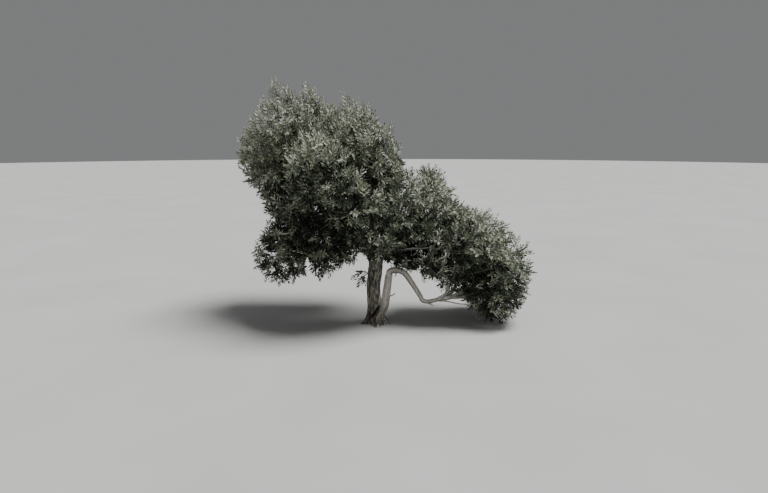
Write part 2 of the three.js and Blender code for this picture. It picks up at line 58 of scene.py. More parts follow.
class Route:
    """A smooth line through points, measured by shares of its length."""

    STEPS = 24  # points on each span
    NEAR = 0.01  # the share on each side that a direction is taken over

    def __init__(self, points):
        points = np.array(points, float)
        knots = np.vstack([2 * points[0] - points[1], points, 2 * points[-1] - points[-2]])
        t = np.linspace(0, 1, self.STEPS, endpoint=False)[:, None]
        spans = []
        for a, b, c, d in zip(knots, knots[1:], knots[2:], knots[3:]):
            ab, bc, cd = (np.linalg.norm(q - p) ** 0.5 for p, q in ((a, b), (b, c), (c, d)))
            leave = bc * ((b - a) / ab - (c - a) / (ab + bc) + (c - b) / bc)
            arrive = bc * ((c - b) / bc - (d - b) / (bc + cd) + (d - c) / cd)
            bend = 3 * (c - b) - 2 * leave - arrive
            spans.append(b + leave * t + bend * t**2 + (2 * (b - c) + leave + arrive) * t**3)
        self.line = np.vstack([*spans, points[-1:]])
        self.marks = marks_of(self.line)
        self.length = self.marks[-1]

    def at(self, share):
        """The point, or points, at a share of the length."""
        return between(np.asarray(share) * self.length, self.marks, self.line)

    def way(self, share):
        """The direction, or directions, at a share of the length."""
        share = np.asarray(share, float)
        return unit(self.at(np.minimum(share + self.NEAR, 1)) - self.at(np.maximum(share - self.NEAR, 0)))


def frames_along(points, side):
    """For each point of a line: its direction, and two directions across it that turn as little as they can."""
    ways = unit(np.gradient(points, axis=0))
    across = []
    for way in ways:
        side = unit(side - np.dot(side, way) * way)
        across.append(side)
    across = np.array(across)
    return ways, across, np.cross(ways, across)


TRUNK_HEIGHT = 0.810
TRUNK = Route(
    [
        (0, 0, 0),
        (0, 0, 0.045),
        (0, 0, 0.100),
        (-0.014, 0, 0.270),
        (-0.022, 0.004, 0.450),
        (-0.004, 0.006, 0.620),
        (0.004, 0.010, TRUNK_HEIGHT),
    ]
)
WAIST, FLARE, FLARE_HEIGHT, SWELLING = 0.076, 0.088, 0.095, 0.012
RIBS, RIB_DEPTH, RIBS_HIGH, RIB_TWIST = 5, 0.22, 0.22, 2.2
FOLDS, FOLD_SHARE, FOLD_TURN = 3, 0.5, 1.1  # the broad folds that make the ribs uneven
TOWARDS_VIEWER = np.array([0.0, -1.0, 0.0])


def trunk_radius(share, angle):
    """The trunk's radius at a share of its length and an angle from the viewer's side towards +X."""
    flare = np.exp(-share * TRUNK_HEIGHT / FLARE_HEIGHT)
    ribs = np.cos(RIBS * angle + RIB_TWIST * share) + FOLD_SHARE * np.cos(FOLDS * angle - FOLD_TURN)
    depth = RIB_DEPTH * (RIBS_HIGH + (1 - RIBS_HIGH) * flare)
    return (WAIST + SWELLING * share**4 + FLARE * flare) * (1 + depth * ribs)


# The masses of foliage, as rounded spaces that the limbs end in and the twigs keep to. Each has its middle and
# half sizes, and a wall towards each mass that it meets. A mass with hang droops, as the skirts do.
WALL_GAP = 0.005  # how far a wall stands back from where two masses would touch
LIMIT = 1.1  # how far out a limb or a stem may go, where 1 is the surface
CLEAR_OF_GROUND = 0.050
FULL_SIZE, LARGEST_SCALE = 0.350, 1.15  # the half size at which a mass has shoots of full length, and the most


class Mass:
    """The rounded space that one mass of foliage keeps to."""

    def __init__(self, name, middle, half, hang=0, seed=None, on_trunk=None, airy=1.0, spire=0):
        self.name = name
        self.spire = spire
        self.middle = np.array(middle)
        self.half = np.array(half)
        self.hang = hang
        self.seed = seed
        self.on_trunk = on_trunk
        self.airy = airy
        self.scale = min(LARGEST_SCALE, np.prod(half) ** (1 / 3) / FULL_SIZE)
        self.walls = []
        self.met = []

    def share_of(self, p):
        """How far out points are: 1 on the surface. A spire's upper half narrows towards its top."""
        off = (p - self.middle) / self.half
        narrow = 1 + self.spire * np.clip(off[..., 2:], 0, 1)
        return np.linalg.norm(off * np.concatenate([narrow, narrow, np.ones_like(narrow)], -1), axis=-1)

    def radius_along(self, way):
        return 1 / np.linalg.norm(way / self.half)

    def part_from(self, others):
        """Puts up a wall towards every mass whose box meets this one's."""
        for other in others:
            gap = other.middle - self.middle
            if other is self or np.any(np.abs(gap) >= self.half + other.half):
                continue
            apart = np.linalg.norm(gap)
            out = gap / apart
            own = self.radius_along(out)
            share = own / (own + other.radius_along(out))
            self.walls.append((out, self.middle @ out + apart * share - WALL_GAP))
            self.met.append(other)

    def holds(self, p, limit=LIMIT, past=0.0):
        """Whether points are inside, above the ground and at most so far past the walls."""
        inside = (self.share_of(p) < limit) & (p[..., 2] > CLEAR_OF_GROUND)
        for out, reach in self.walls:
            inside &= p @ out < reach + past
        return inside


MASSES = {
    mass.name: mass
    for mass in (
        Mass("peak_left", (-1.105, -0.060, 2.420), (0.310, 0.340, 0.520), airy=1.1, spire=0.45),
        Mass("peak_mid", (-0.741, 0.100, 2.418), (0.240, 0.330, 0.466), airy=1.1, spire=0.45),
        Mass("peak_right", (-0.271, 0, 2.257), (0.334, 0.380, 0.519), airy=1.05, spire=0.35),
        Mass("shoulder", (0.062, -0.040, 1.945), (0.240, 0.330, 0.450)),
        Mass("flank_left", (-1.320, 0, 1.950), (0.310, 0.380, 0.440)),
        Mass("low_left", (-1.050, -0.150, 1.280), (0.300, 0.400, 0.382)),
        Mass("skirt_left", (-1.104, -0.100, 0.832), (0.353, 0.330, 0.350), hang=0.7),
        Mass("front_upper", (-0.624, -0.620, 1.897), (0.360, 0.340, 0.400)),
        Mass("front_mid", (-0.317, -0.680, 1.510), (0.350, 0.330, 0.350)),
        Mass("skirt_front", (-0.596, -0.430, 1.011), (0.260, 0.300, 0.380), hang=0.7),
        Mass("front_right", (0.009, -0.430, 1.195), (0.311, 0.300, 0.375)),
        Mass("right_mid", (0.339, -0.150, 1.475), (0.299, 0.340, 0.414)),
        Mass("right_peak", (0.678, 0.060, 1.524), (0.272, 0.300, 0.414)),
        Mass("right_inner", (0.554, -0.120, 0.960), (0.304, 0.300, 0.325), airy=0.88),
        Mass("lobe_top", (1.137, -0.040, 1.049), (0.378, 0.380, 0.366), seed=41),
        Mass("lobe_outer", (1.562, 0, 0.745), (0.345, 0.400, 0.467)),
        Mass("lobe_low", (1.413, -0.080, 0.353), (0.335, 0.380, 0.335), hang=0.3),
        Mass("lobe_inner", (0.932, -0.140, 0.684), (0.306, 0.300, 0.317)),
        Mass("back_left", (-1.220, 0.620, 1.712), (0.394, 0.380, 0.600)),
        Mass("back_peak", (-0.648, 0.640, 2.063), (0.455, 0.400, 0.600)),
        Mass("back_right", (-0.030, 0.600, 1.562), (0.432, 0.380, 0.560)),
        Mass("back_low", (-0.744, 0.520, 1.000), (0.480, 0.400, 0.400), hang=0.4),
        Mass("back_lobe", (0.903, 0.430, 1.048), (0.478, 0.300, 0.430)),
        Mass("lobe_back", (1.397, 0.420, 0.482), (0.408, 0.300, 0.440), hang=0.2),
        Mass("trunk_sprout", (-0.190, -0.090, 0.570), (0.115, 0.100, 0.145), hang=0.8, on_trunk=0.76),
        Mass("skirt_right", (0.285, -0.020, 0.880), (0.250, 0.260, 0.190), hang=0.5, airy=0.72),
        Mass("skirt_fork", (-0.285, -0.270, 0.935), (0.215, 0.220, 0.155), hang=0.5, airy=0.85),
    )
}
for index, mass in enumerate(MASSES.values()):
    mass.part_from(MASSES.values())
    mass.seed = index if mass.seed is None else mass.seed


# The limbs: smooth grey boughs that leave the trunk near its fork, and the low limb that rises from its foot,
# arches over and comes down again before it runs out to the right. Each ends where it enters its mass.
CLEAR = 0.0003  # between two pieces of wood that meet end to end
STRAIGHT_ON = 1.2  # how far a limb keeps its parent's direction, for its radius
ENTRY = 0.8  # how far out in its mass a limb ends
FARTHEST, STEP_IN = 0.9, 0.95  # the most of the way from the middle to the last bend, and each step back
TAPER = 0.8


class Limb:
    """A limb's route, and its radius from foot to tip."""

    def __init__(self, start, at, via, end, radii):
        parent = LIMBS[start]
        self.radii = radii
        if at == 1:
            foot = parent.tip + parent.heading * CLEAR
            points = [foot, foot + parent.heading * STRAIGHT_ON * radii[0]]
        else:
            points = [parent.route.at(at)]
        points += [np.array(p, float) for p in via]
        points.append(self.entry(MASSES[end], points[-1]) if end in MASSES else np.array(end))
        self.route = Route(points)
        self.tip = points[-1]
        self.heading = unit(points[-1] - points[-2])
        self.collar = 0 if at == 1 else parent.radius(at)

    @staticmethod
    def entry(mass, bend):
        """Where a limb ends: on the line from its last bend to the mass's middle, inside the mass."""
        back = bend - mass.middle
        share = min(FARTHEST, ENTRY / mass.share_of(bend))
        while not mass.holds(mass.middle + back * share):
            share *= STEP_IN
        return mass.middle + back * share

    def radius(self, share):
        foot, tip = self.radii
        return foot + (tip - foot) * share**TAPER


class Trunk:
    """The trunk, as the limbs see it."""

    route, tip, heading = TRUNK, TRUNK.line[-1], TRUNK.way(1)

    @staticmethod
    def radius(share):
        return WAIST + SWELLING * share**4


LIMBS = {"trunk": Trunk}
for name, start, at, via, end, radii in (
    (
        "bough_centre",
        "trunk",
        1,
        [(-0.030, 0.090, 1.120), (-0.130, 0.120, 1.480)],
        "peak_right",
        (0.058, 0.022),
    ),
    (
        "bough_left",
        "trunk",
        0.9,
        [(-0.170, 0.020, 1.040), (-0.430, 0.040, 1.300), (-0.740, 0.010, 1.680)],
        "peak_left",
        (0.052, 0.020),
    ),
    (
        "bough_right",
        "trunk",
        0.93,
        [(0.110, -0.040, 1.010), (0.215, -0.100, 1.160)],
        "right_mid",
        (0.046, 0.019),
    ),
    (
        "bough_front",
        "trunk",
        0.86,
        [(-0.090, -0.190, 1.010), (-0.190, -0.360, 1.230)],
        "front_mid",
        (0.040, 0.018),
    ),
    ("bough_back", "trunk", 0.87, [(-0.110, 0.190, 0.960)], "back_low", (0.040, 0.020)),
    (
        "arch_riser",
        "trunk",
        0.13,
        [(0.092, -0.045, 0.215), (0.134, -0.055, 0.423)],
        (0.158, -0.067, 0.600),
        (0.056, 0.044),
    ),
    (
        "arch_fall",
        "arch_riser",
        1,
        [(0.222, -0.074, 0.668), (0.324, -0.080, 0.647), (0.423, -0.090, 0.523)],
        (0.540, -0.112, 0.338),
        (0.040, 0.028),
    ),
    ("arch_run", "arch_fall", 1, [(0.605, -0.122, 0.296), (0.826, -0.135, 0.342)], "lobe_low", (0.027, 0.018)),
    ("branch_flank_left", "bough_left", 0.66, [(-0.810, -0.030, 1.640)], "flank_left", (0.025, 0.017)),
    ("branch_low_left", "bough_left", 0.3, [(-0.470, -0.060, 1.170)], "low_left", (0.029, 0.017)),
    ("branch_skirt_left", "bough_left", 0.17, [(-0.420, -0.070, 1.020)], "skirt_left", (0.027, 0.016)),
    ("branch_peak_mid", "bough_left", 0.74, [(-0.700, 0.060, 1.800)], "peak_mid", (0.024, 0.017)),
    ("branch_back_left", "bough_left", 0.42, [(-0.700, 0.240, 1.420)], "back_left", (0.027, 0.018)),
    ("branch_back_peak", "bough_centre", 0.5, [(-0.260, 0.300, 1.500)], "back_peak", (0.029, 0.019)),
    ("branch_back_right", "bough_centre", 0.3, [(-0.010, 0.280, 1.190)], "back_right", (0.027, 0.018)),
    ("branch_shoulder", "bough_centre", 0.42, [(-0.010, 0.040, 1.420)], "shoulder", (0.025, 0.017)),
    ("branch_front_upper", "bough_front", 0.5, [(-0.300, -0.400, 1.400)], "front_upper", (0.024, 0.017)),
    ("branch_skirt_front", "bough_front", 0.2, [(-0.220, -0.290, 1.070)], "skirt_front", (0.022, 0.015)),
    ("branch_front_right", "bough_right", 0.14, [(0.060, -0.180, 0.980)], "front_right", (0.022, 0.015)),
    ("branch_right_peak", "bough_right", 0.5, [(0.330, -0.020, 1.250)], "right_peak", (0.022, 0.015)),
    ("bough_level", "bough_right", 0.24, [(0.230, -0.110, 0.905)], "right_inner", (0.022, 0.015)),
    ("branch_back_lobe", "bough_right", 0.36, [(0.300, 0.120, 1.040)], "back_lobe", (0.025, 0.017)),
    ("branch_lobe_inner", "arch_run", 0.36, [(0.850, -0.170, 0.430)], "lobe_inner", (0.020, 0.014)),
    (
        "branch_lobe_outer",
        "arch_run",
        0.48,
        [(0.972, -0.140, 0.394), (1.193, -0.120, 0.546)],
        "lobe_outer",
        (0.021, 0.015),
    ),
    (
        "branch_lobe_top",
        "arch_run",
        0.42,
        [(0.900, -0.090, 0.410), (1.010, -0.060, 0.570)],
        "lobe_top",
        (0.021, 0.015),
    ),
    ("branch_lobe_back", "arch_run", 0.54, [(0.980, 0.030, 0.335)], "lobe_back", (0.020, 0.014)),
    ("branch_skirt_right", "bough_right", 0.12, [(0.130, 0.010, 0.880)], "skirt_right", (0.021, 0.014)),
    ("branch_skirt_fork", "bough_front", 0.16, [(-0.160, -0.190, 0.915)], "skirt_fork", (0.021, 0.014)),
):
    LIMBS[name] = Limb(start, at, via, end, radii)
    if end in MASSES:
        MASSES[end].limb = LIMBS[name]


# The stem of each mass: the limb's own wood, run on past the middle of the mass. It rises in most masses and
# turns down in those that hang. The shoots on the trunk grow from a stem that starts inside its bark.
STEM_SHARE, STEM_RISE, STEM_BEND = 0.45, 0.5, 0.4
STEM_TIP, STEM_LEAD, NUDGE = 0.009, 0.040, 0.1
SPROUT_FOOT, SPROUT_RISE = 0.010, 0.040

for mass in MASSES.values():
    if mass.on_trunk:
        foot = TRUNK.at(mass.on_trunk)
        heading = mass.middle - foot
        heading[2] = SPROUT_RISE
        heading = unit(heading)
        lead = foot + heading * WAIST
        mass.stem_radii = (SPROUT_FOOT, STEM_TIP * mass.scale)
    else:
        heading = mass.limb.heading
        foot = mass.limb.tip + heading * CLEAR
        lead = foot + heading * STEM_LEAD
        mass.stem_radii = (mass.limb.radii[1], STEM_TIP * mass.scale)
    on = unit(mass.middle - foot)
    on[2] += -mass.hang if mass.hang else STEM_RISE
    on = unit(on)
    end = mass.middle + on * mass.radius_along(on) * STEM_SHARE
    while not mass.holds(end):
        end = (1 - NUDGE) * end + NUDGE * mass.middle
    half_way = (1 - STEM_BEND) * (0.5 * lead + 0.5 * end) + STEM_BEND * mass.middle
    mass.stem = Route([foot, lead, half_way, end])


# The bark: one closed skin over the trunk, the limbs, the thin limbs and the dead ends. Tubes with a collar at
# each foot are fused by a fine remesh, and each point is then moved by its place along and round its limb: long
# fissures on the trunk, smooth grey bark on the limbs, and the cleft between the trunk and the low limb. Painted
# shade darkens the grooves, the cleft, the undersides of the bare wood and the top of the trunk, and painted
# light makes the tops of the bare wood paler.
RING = 0.014  # between the rings of a limb
TRUNK_RINGS, TRUNK_SIDES, LIMB_SIDES, THIN_SIDES = 60, 64, 14, 8
FOOT_DOME, TIP_DOME = 0.3, 0.5  # how far a tube's ends stand out, for their radius
COLLAR_SWELLING, COLLAR_REACH = 0.42, 1.1
VOXEL = 0.0052
FACES_KEPT = 95_000
BELOW = 0.030  # the trunk is made this far into the ground, and cut level


def tube(points, radii):
    """Rings of points along a line, with a point at each end: corners and faces. radii is one row for a ring."""
    ways, across, up = frames_along(points, TOWARDS_VIEWER)
    sides = radii.shape[1]
    angle = np.arange(sides) * 2 * np.pi / sides
    ring = np.cos(angle)[:, None] * across[:, None] + np.sin(angle)[:, None] * up[:, None]
    corners = points[:, None] + ring * radii[:, :, None]
    first = points[0] - ways[0] * radii[0, 0] * FOOT_DOME
    last = points[-1] + ways[-1] * radii[-1, 0] * TIP_DOME
    faces = []
    for row in range(len(points) - 1):
        for k in range(sides):
            a, b = row * sides + k, row * sides + (k + 1) % sides
            faces.append((a, b, b + sides, a + sides))
    tip = len(points) * sides
    for k in range(sides):
        a, b = k, (k + 1) % sides
        faces += [(b, a, tip), (tip - sides + a, tip - sides + b, tip + 1)]
    return np.vstack([corners.reshape(-1, 3), first, last]), faces


def limb_tube(limb):
    """A limb's tube, with a swollen collar where it leaves its parent."""
    count = max(8, round(limb.route.length / RING))
    share = np.linspace(0, 1, count)
    radius = limb.radius(share)
    if limb.collar:
        past = np.maximum(share * limb.route.length - limb.collar, 0)
        radius = radius * (1 + COLLAR_SWELLING * np.exp(-past / (COLLAR_REACH * limb.radii[0])))
    return tube(limb.route.at(share), np.repeat(radius[:, None], LIMB_SIDES, 1))


def trunk_tube():
    share = np.linspace(0, 1, TRUNK_RINGS)
    points = np.vstack([TRUNK.at(0) - (0, 0, BELOW), TRUNK.at(share)])
    share = np.append(0, share)
    angle = np.arange(TRUNK_SIDES) * 2 * np.pi / TRUNK_SIDES
    return tube(points, trunk_radius(share[:, None], angle[None]))


def join(parts):
    """One mesh's corners and faces from those of several."""
    corners, faces, count = [], [], 0
    for points, rows in parts:
        corners.append(points)
        faces += [tuple(i + count for i in row) for row in rows]
        count += len(points)
    return np.vstack(corners), faces


def put(name, data):
    """A new object in the scene."""
    made = bpy.data.objects.new(name, data)
    bpy.context.scene.collection.objects.link(made)
    return made


def mesh_object(name, corners, faces):
    mesh = bpy.data.meshes.new(name)
    mesh.from_pydata(corners.tolist(), [], faces)
    return put(name, mesh)


def settle(made):
    """Turns an object with modifiers into a plain mesh of what they make."""
    shown = made.evaluated_get(bpy.context.evaluated_depsgraph_get())
    plain = bpy.data.meshes.new_from_object(shown)
    made.modifiers.clear()
    made.data = plain
    plain.name = made.name
    return made


# thin limbs, one on the level bough and three beside the arch's run, and the dead ends left on the arch: the
# radii of each at its foot and tip, and its bends
THIN_LIMBS = (
    (0.014, 0.008, (0.262, -0.118, 0.915), (0.36, -0.140, 0.936), (0.52, -0.156, 0.944), (0.69, -0.170, 0.962)),
    (0.011, 0.008, (0.760, -0.134, 0.330), (0.90, -0.165, 0.350), (1.054, -0.16, 0.372), (1.23, -0.180, 0.420)),
    (
        0.010,
        0.006,
        (0.700, -0.132, 0.312),
        (0.855, -0.150, 0.303),
        (0.962, -0.165, 0.285),
        (1.120, -0.180, 0.275),
        (1.270, -0.190, 0.300),
    ),
    (0.011, 0.008, (0.840, -0.130, 0.346), (0.977, -0.105, 0.356), (1.10, -0.090, 0.400), (1.24, -0.080, 0.470)),
)
DEAD_ENDS = (
    (0.012, 0.006, (0.135, -0.070, 0.352), (0.190, -0.092, 0.362), (0.232, -0.098, 0.392)),
    (0.014, 0.005, (0.236, -0.078, 0.655), (0.240, -0.086, 0.620), (0.222, -0.088, 0.586)),
    (0.015, 0.006, (0.585, -0.120, 0.305), (0.640, -0.128, 0.272), (0.682, -0.134, 0.250)),
    (0.013, 0.007, (0.118, -0.080, 0.300), (0.142, -0.112, 0.318), (0.150, -0.124, 0.352)),
)


def thin_tube(foot, tip, *bends):
    route = Route(bends)
    share = np.linspace(0, 1, max(6, round(route.length / RING)))
    radius = foot + (tip - foot) * share
    return tube(route.at(share), np.repeat(radius[:, None], THIN_SIDES, 1))


parts = [trunk_tube()]
parts += [limb_tube(limb) for name, limb in LIMBS.items() if name != "trunk"]
parts += [thin_tube(*row) for row in THIN_LIMBS + DEAD_ENDS]
bark = mesh_object("bark", *join(parts))
remesh = bark.modifiers.new("fuse", "REMESH")
remesh.mode = "VOXEL"
remesh.voxel_size = VOXEL
settle(bark)

# The middle line of the limb that is nearest to each point: the directions across it, how far along it is, its
# radius, how rough its bark is, and how pale. The low limb and its fan are bare, and so is the level bough.
AXIS_STEP = 0.008
LIMB_ROUGHNESS, OLD_BARK_REACH = 0.30, 0.16
BARE_FROM, BARE_OVER = 0.06, 0.20  # where the low limb's foot begins to be bare, and over what length
FAN_PALENESS = 0.85


def within(value):
    """A value held between 0 and 1."""
    return min(1, max(0, value))


axis_points, axis_rows = [], []
for name, limb in LIMBS.items():
    share = np.linspace(0, 1, max(4, round(limb.route.length / AXIS_STEP)))
    points = limb.route.at(share)
    _, across, up = frames_along(points, TOWARDS_VIEWER)
    on_arch = name.startswith("arch")
    for k, s in enumerate(share):
        along = s * limb.route.length
        rough = 1 if limb is Trunk else LIMB_ROUGHNESS
        if name.startswith("bough"):
            rough += (1 - LIMB_ROUGHNESS) * math.exp(-along / OLD_BARK_REACH)
        paleness = FAN_PALENESS * name.startswith(("bough_level", "branch_lobe"))
        if on_arch:
            paleness = within((along - BARE_FROM) / BARE_OVER) if name == "arch_riser" else 1
            rough = max(rough, 1 - paleness)
        axis_points.append(points[k])
        axis_rows.append((across[k], up[k], along, limb.radius(s), rough, paleness))
finder = kdtree.KDTree(len(axis_points))
for k, point in enumerate(axis_points):
    finder.insert(point, k)
finder.balance()

FLUTE_DEPTH, FLUTE_WIDTH, FLUTE_SWELLING = 0.011, 0.075, 0.12
FLUTE_TWIST = 0.9  # radians for each metre up the trunk
FLUTES_ROUND, FLUTES_ALONG, FLUTES_FROM = 1.5, 1.6, 2
FISSURE_DEPTH, FISSURE_LEVEL = 0.0055, 0.4
# each kind of fissure: how much it counts, how wide and how long its ridges are, and how sharp
FISSURES = ((1.0, 0.017, 0.10, 0.13), (0.4, 0.009, 0.05, 0.18))
# painted shade in the flutes and the fissures of the rough bark
FLUTE_SHADE, FISSURE_SHADE = 0.8, 0.45
# painted light: the bare wood paler on its upper side
TOP_PAINTED_LIGHT = 0.17
# painted shade on the undersides of the bare wood
UNDERSIDE_FROM, UNDERSIDE_OVER, UNDERSIDE_SHADE = 0.05, 0.4, 0.8
# painted shade at the top of the trunk, under the crown, darker with height
CROWN_SHADE_FROM, CROWN_SHADE_OVER, CROWN_SHADE_DARK = 0.56, 0.22, 0.55
# the cleft between the trunk and the low limb, on the viewer's side: it leans, goes up to a height, and is
# darkened with painted shade
CLEFT_X, CLEFT_Z, CLEFT_SLANT = -0.012, 0.145, 0.70
CLEFT_HALF_WIDTH, CLEFT_HALF_HEIGHT, CLEFT_DEPTH, CLEFT_SHADE = 0.016, 0.075, 0.055, 2.5
CLEFT_TOP, CLEFT_FACING = 0.3, 0.2


def ridge(value, width):
    """1 where noise crosses nought, and less on both sides."""
    return math.exp(-((value / width) ** 2))


count = len(bark.data.vertices)
place = np.empty(count * 3)
out = np.empty(count * 3)
bark.data.vertices.foreach_get("co", place)
bark.data.vertex_normals.foreach_get("vector", out)
place, out = place.reshape(-1, 3), out.reshape(-1, 3)
grain = np.empty((count, 3))
age, pale, dark = np.empty(count), np.empty(count), np.empty(count)
for i, (p, n) in enumerate(zip(place, out)):
    _, k, _ = finder.find(p)
    across, up, along, radius, rough, paleness = axis_rows[k]
    off = p - axis_points[k]
    angle = math.atan2(off @ up, off @ across) + FLUTE_TWIST * along
    c, s = math.cos(angle), math.sin(angle)
    grain[i] = c * radius, s * radius, along
    # the bare wood is painted paler where it faces up, as painted light
    age[i], pale[i] = rough, paleness * (1 + TOP_PAINTED_LIGHT * max(0, n[2]))
    flute = noise.noise(Vector((FLUTES_ROUND * c, FLUTES_ROUND * s, FLUTES_ALONG * along + FLUTES_FROM)))
    fissure = 0
    for counts, wide, long, sharp in FISSURES:
        crease = noise.noise(Vector((c * radius / wide, s * radius / wide, along / long)))
        fissure += counts * ridge(crease, sharp)
    groove = ridge(flute, FLUTE_WIDTH)
    sunk = FLUTE_DEPTH * groove + FISSURE_DEPTH * (fissure - FISSURE_LEVEL)
    move = FLUTE_SWELLING * radius * flute - min(1, radius / WAIST) * rough * sunk
    # painted shade under the bare wood, where it faces down
    underside = paleness * within((UNDERSIDE_FROM - n[2]) / UNDERSIDE_OVER)
    # the dark attribute: painted shade in the grooves, or under the bare wood, whichever is darker
    dark[i] = max(rough * within(FLUTE_SHADE * groove + FISSURE_SHADE * fissure), UNDERSIDE_SHADE * underside)
    # painted shade on the top of the trunk under the crown, where the bark is rough
    crown_shade = CROWN_SHADE_DARK * rough * within((p[2] - CROWN_SHADE_FROM) / CROWN_SHADE_OVER)
    dark[i] += (1 - dark[i]) * crown_shade
    # the cleft is pushed in and darkened with painted shade
    if p[2] < CLEFT_TOP and n[1] < CLEFT_FACING and p[1] < 0:
        dz = p[2] - CLEFT_Z
        dx = p[0] - CLEFT_X - dz * CLEFT_SLANT
        near = math.exp(-((dx / CLEFT_HALF_WIDTH) ** 2) - (dz / CLEFT_HALF_HEIGHT) ** 4)
        p = p + np.array((0, CLEFT_DEPTH * near, 0))
        dark[i] = max(dark[i], within(CLEFT_SHADE * near))
    place[i] = p + n * move
bark.data.vertices.foreach_set("co", place.ravel())
bark.data.attributes.new("grain", "FLOAT_VECTOR", "POINT").data.foreach_set("vector", grain.ravel())
for title, values in (("age", age), ("pale", pale), ("dark", dark)):
    bark.data.attributes.new(title, "FLOAT", "POINT").data.foreach_set("value", values)

# crumbs that the remesh leaves apart from the skin come off, and the foot is cut level with the ground
cut = bmesh.new()
cut.from_mesh(bark.data)
whole, ahead = set(), [max(cut.verts, key=lambda corner: corner.co.z)]
while ahead:
    corner = ahead.pop()
    if corner not in whole:
        whole.add(corner)
        ahead += [edge.other_vert(corner) for edge in corner.link_edges]
crumbs = [corner for corner in cut.verts if corner not in whole]
bmesh.ops.delete(cut, geom=crumbs, context="VERTS")
bmesh.ops.bisect_plane(
    cut,
    geom=cut.verts[:] + cut.edges[:] + cut.faces[:],
    plane_co=(0, 0, 0),
    plane_no=(0, 0, -1),
    clear_outer=True,
)
rim = [edge for edge in cut.edges if edge.is_boundary]
bmesh.ops.holes_fill(cut, edges=rim, sides=0)
cut.to_mesh(bark.data)
cut.free()
thin = bark.modifiers.new("thin_out", "DECIMATE")
thin.ratio = FACES_KEPT / len(bark.data.polygons)
settle(bark)
bark.data.shade_smooth()


class Plan:
    """The nodes of a material or of a Geometry Nodes tree."""

    def __init__(self, tree):
        self.tree = tree

    def add(self, kind, settings=None, values=None):
        """Adds a node of any type: its settings first, then what its sockets hold or are joined to."""
        node = self.tree.nodes.new(kind)
        for name, value in (settings or {}).items():
            if name == "stops":
                for stop, (where, colour) in zip(ramp_stops(node, len(value)), value):
                    stop.position, stop.color = where, (*colour, 1)
            else:
                setattr(node, name, value)
        for name, value in (values or {}).items():
            into = node.inputs[name] if isinstance(name, int) else first_open(node.inputs, name)
            if isinstance(value, Socket):
                self.tree.links.new(value.socket, into)
            else:
                into.default_value = value
        return Socket(self, node)


class Socket:
    """What a node gives. Sums on it add Math nodes to its plan."""

    def __init__(self, plan, node, output=None):
        self.plan = plan
        self.node = node
        self.socket = output or next((s for s in node.outputs if s.enabled), None)

    def __getitem__(self, name):
        return Socket(self.plan, self.node, first_open(self.node.outputs, name))

    def math(self, operation, *terms):
        return self.plan.add("ShaderNodeMath", {"operation": operation}, dict(enumerate(terms)))

    def __add__(self, other):
        return self.math("ADD", self, other)

    def __sub__(self, other):
        return self.math("SUBTRACT", self, other)

    def __rsub__(self, other):
        return self.math("SUBTRACT", other, self)

    def __mul__(self, other):
        return self.math("MULTIPLY", self, other)

    __radd__ = __add__
    __rmul__ = __mul__


def first_open(sockets, name):
    return next(s for s in sockets if s.name == name and s.enabled)


def ramp_stops(node, count):
    stops = node.color_ramp.elements
    while len(stops) < count:
        stops.new(0.5)
    return stops


def new_material(name):
    """A material with one Principled shader, as its plan and that shader."""
    material = bpy.data.materials.new(name)
    material.use_nodes = True
    return material, Plan(material.node_tree), material.node_tree.nodes["Principled BSDF"]


def wire(plan, shader, **inputs):
    """Sets or joins sockets of a shader, whose names are written with _ for a space."""
    for name, value in inputs.items():
        socket = shader.inputs[name.replace("_", " ")]
        if isinstance(value, Socket):
            plan.tree.links.new(value.socket, socket)
        else:
            socket.default_value = value


def speckle(plan, where, scale, detail, roughness=0.5):
    """Noise over places, between 0 and 1."""
    values = {"Vector": where, "Scale": scale, "Detail": detail, "Roughness": roughness}
    return plan.add("ShaderNodeTexNoise", None, values)["Fac"]


def ramp(plan, value, *stops):
    """A colour that runs through stops as a value grows."""
    return plan.add("ShaderNodeValToRGB", {"stops": stops}, {"Fac": value})["Color"]


def mixed(plan, share, first, second):
    """Two colours mixed, by the second one's share."""
    values = {"Factor": share, "A": first, "B": second}
    return plan.add("ShaderNodeMix", {"data_type": "RGBA"}, values)["Result"]


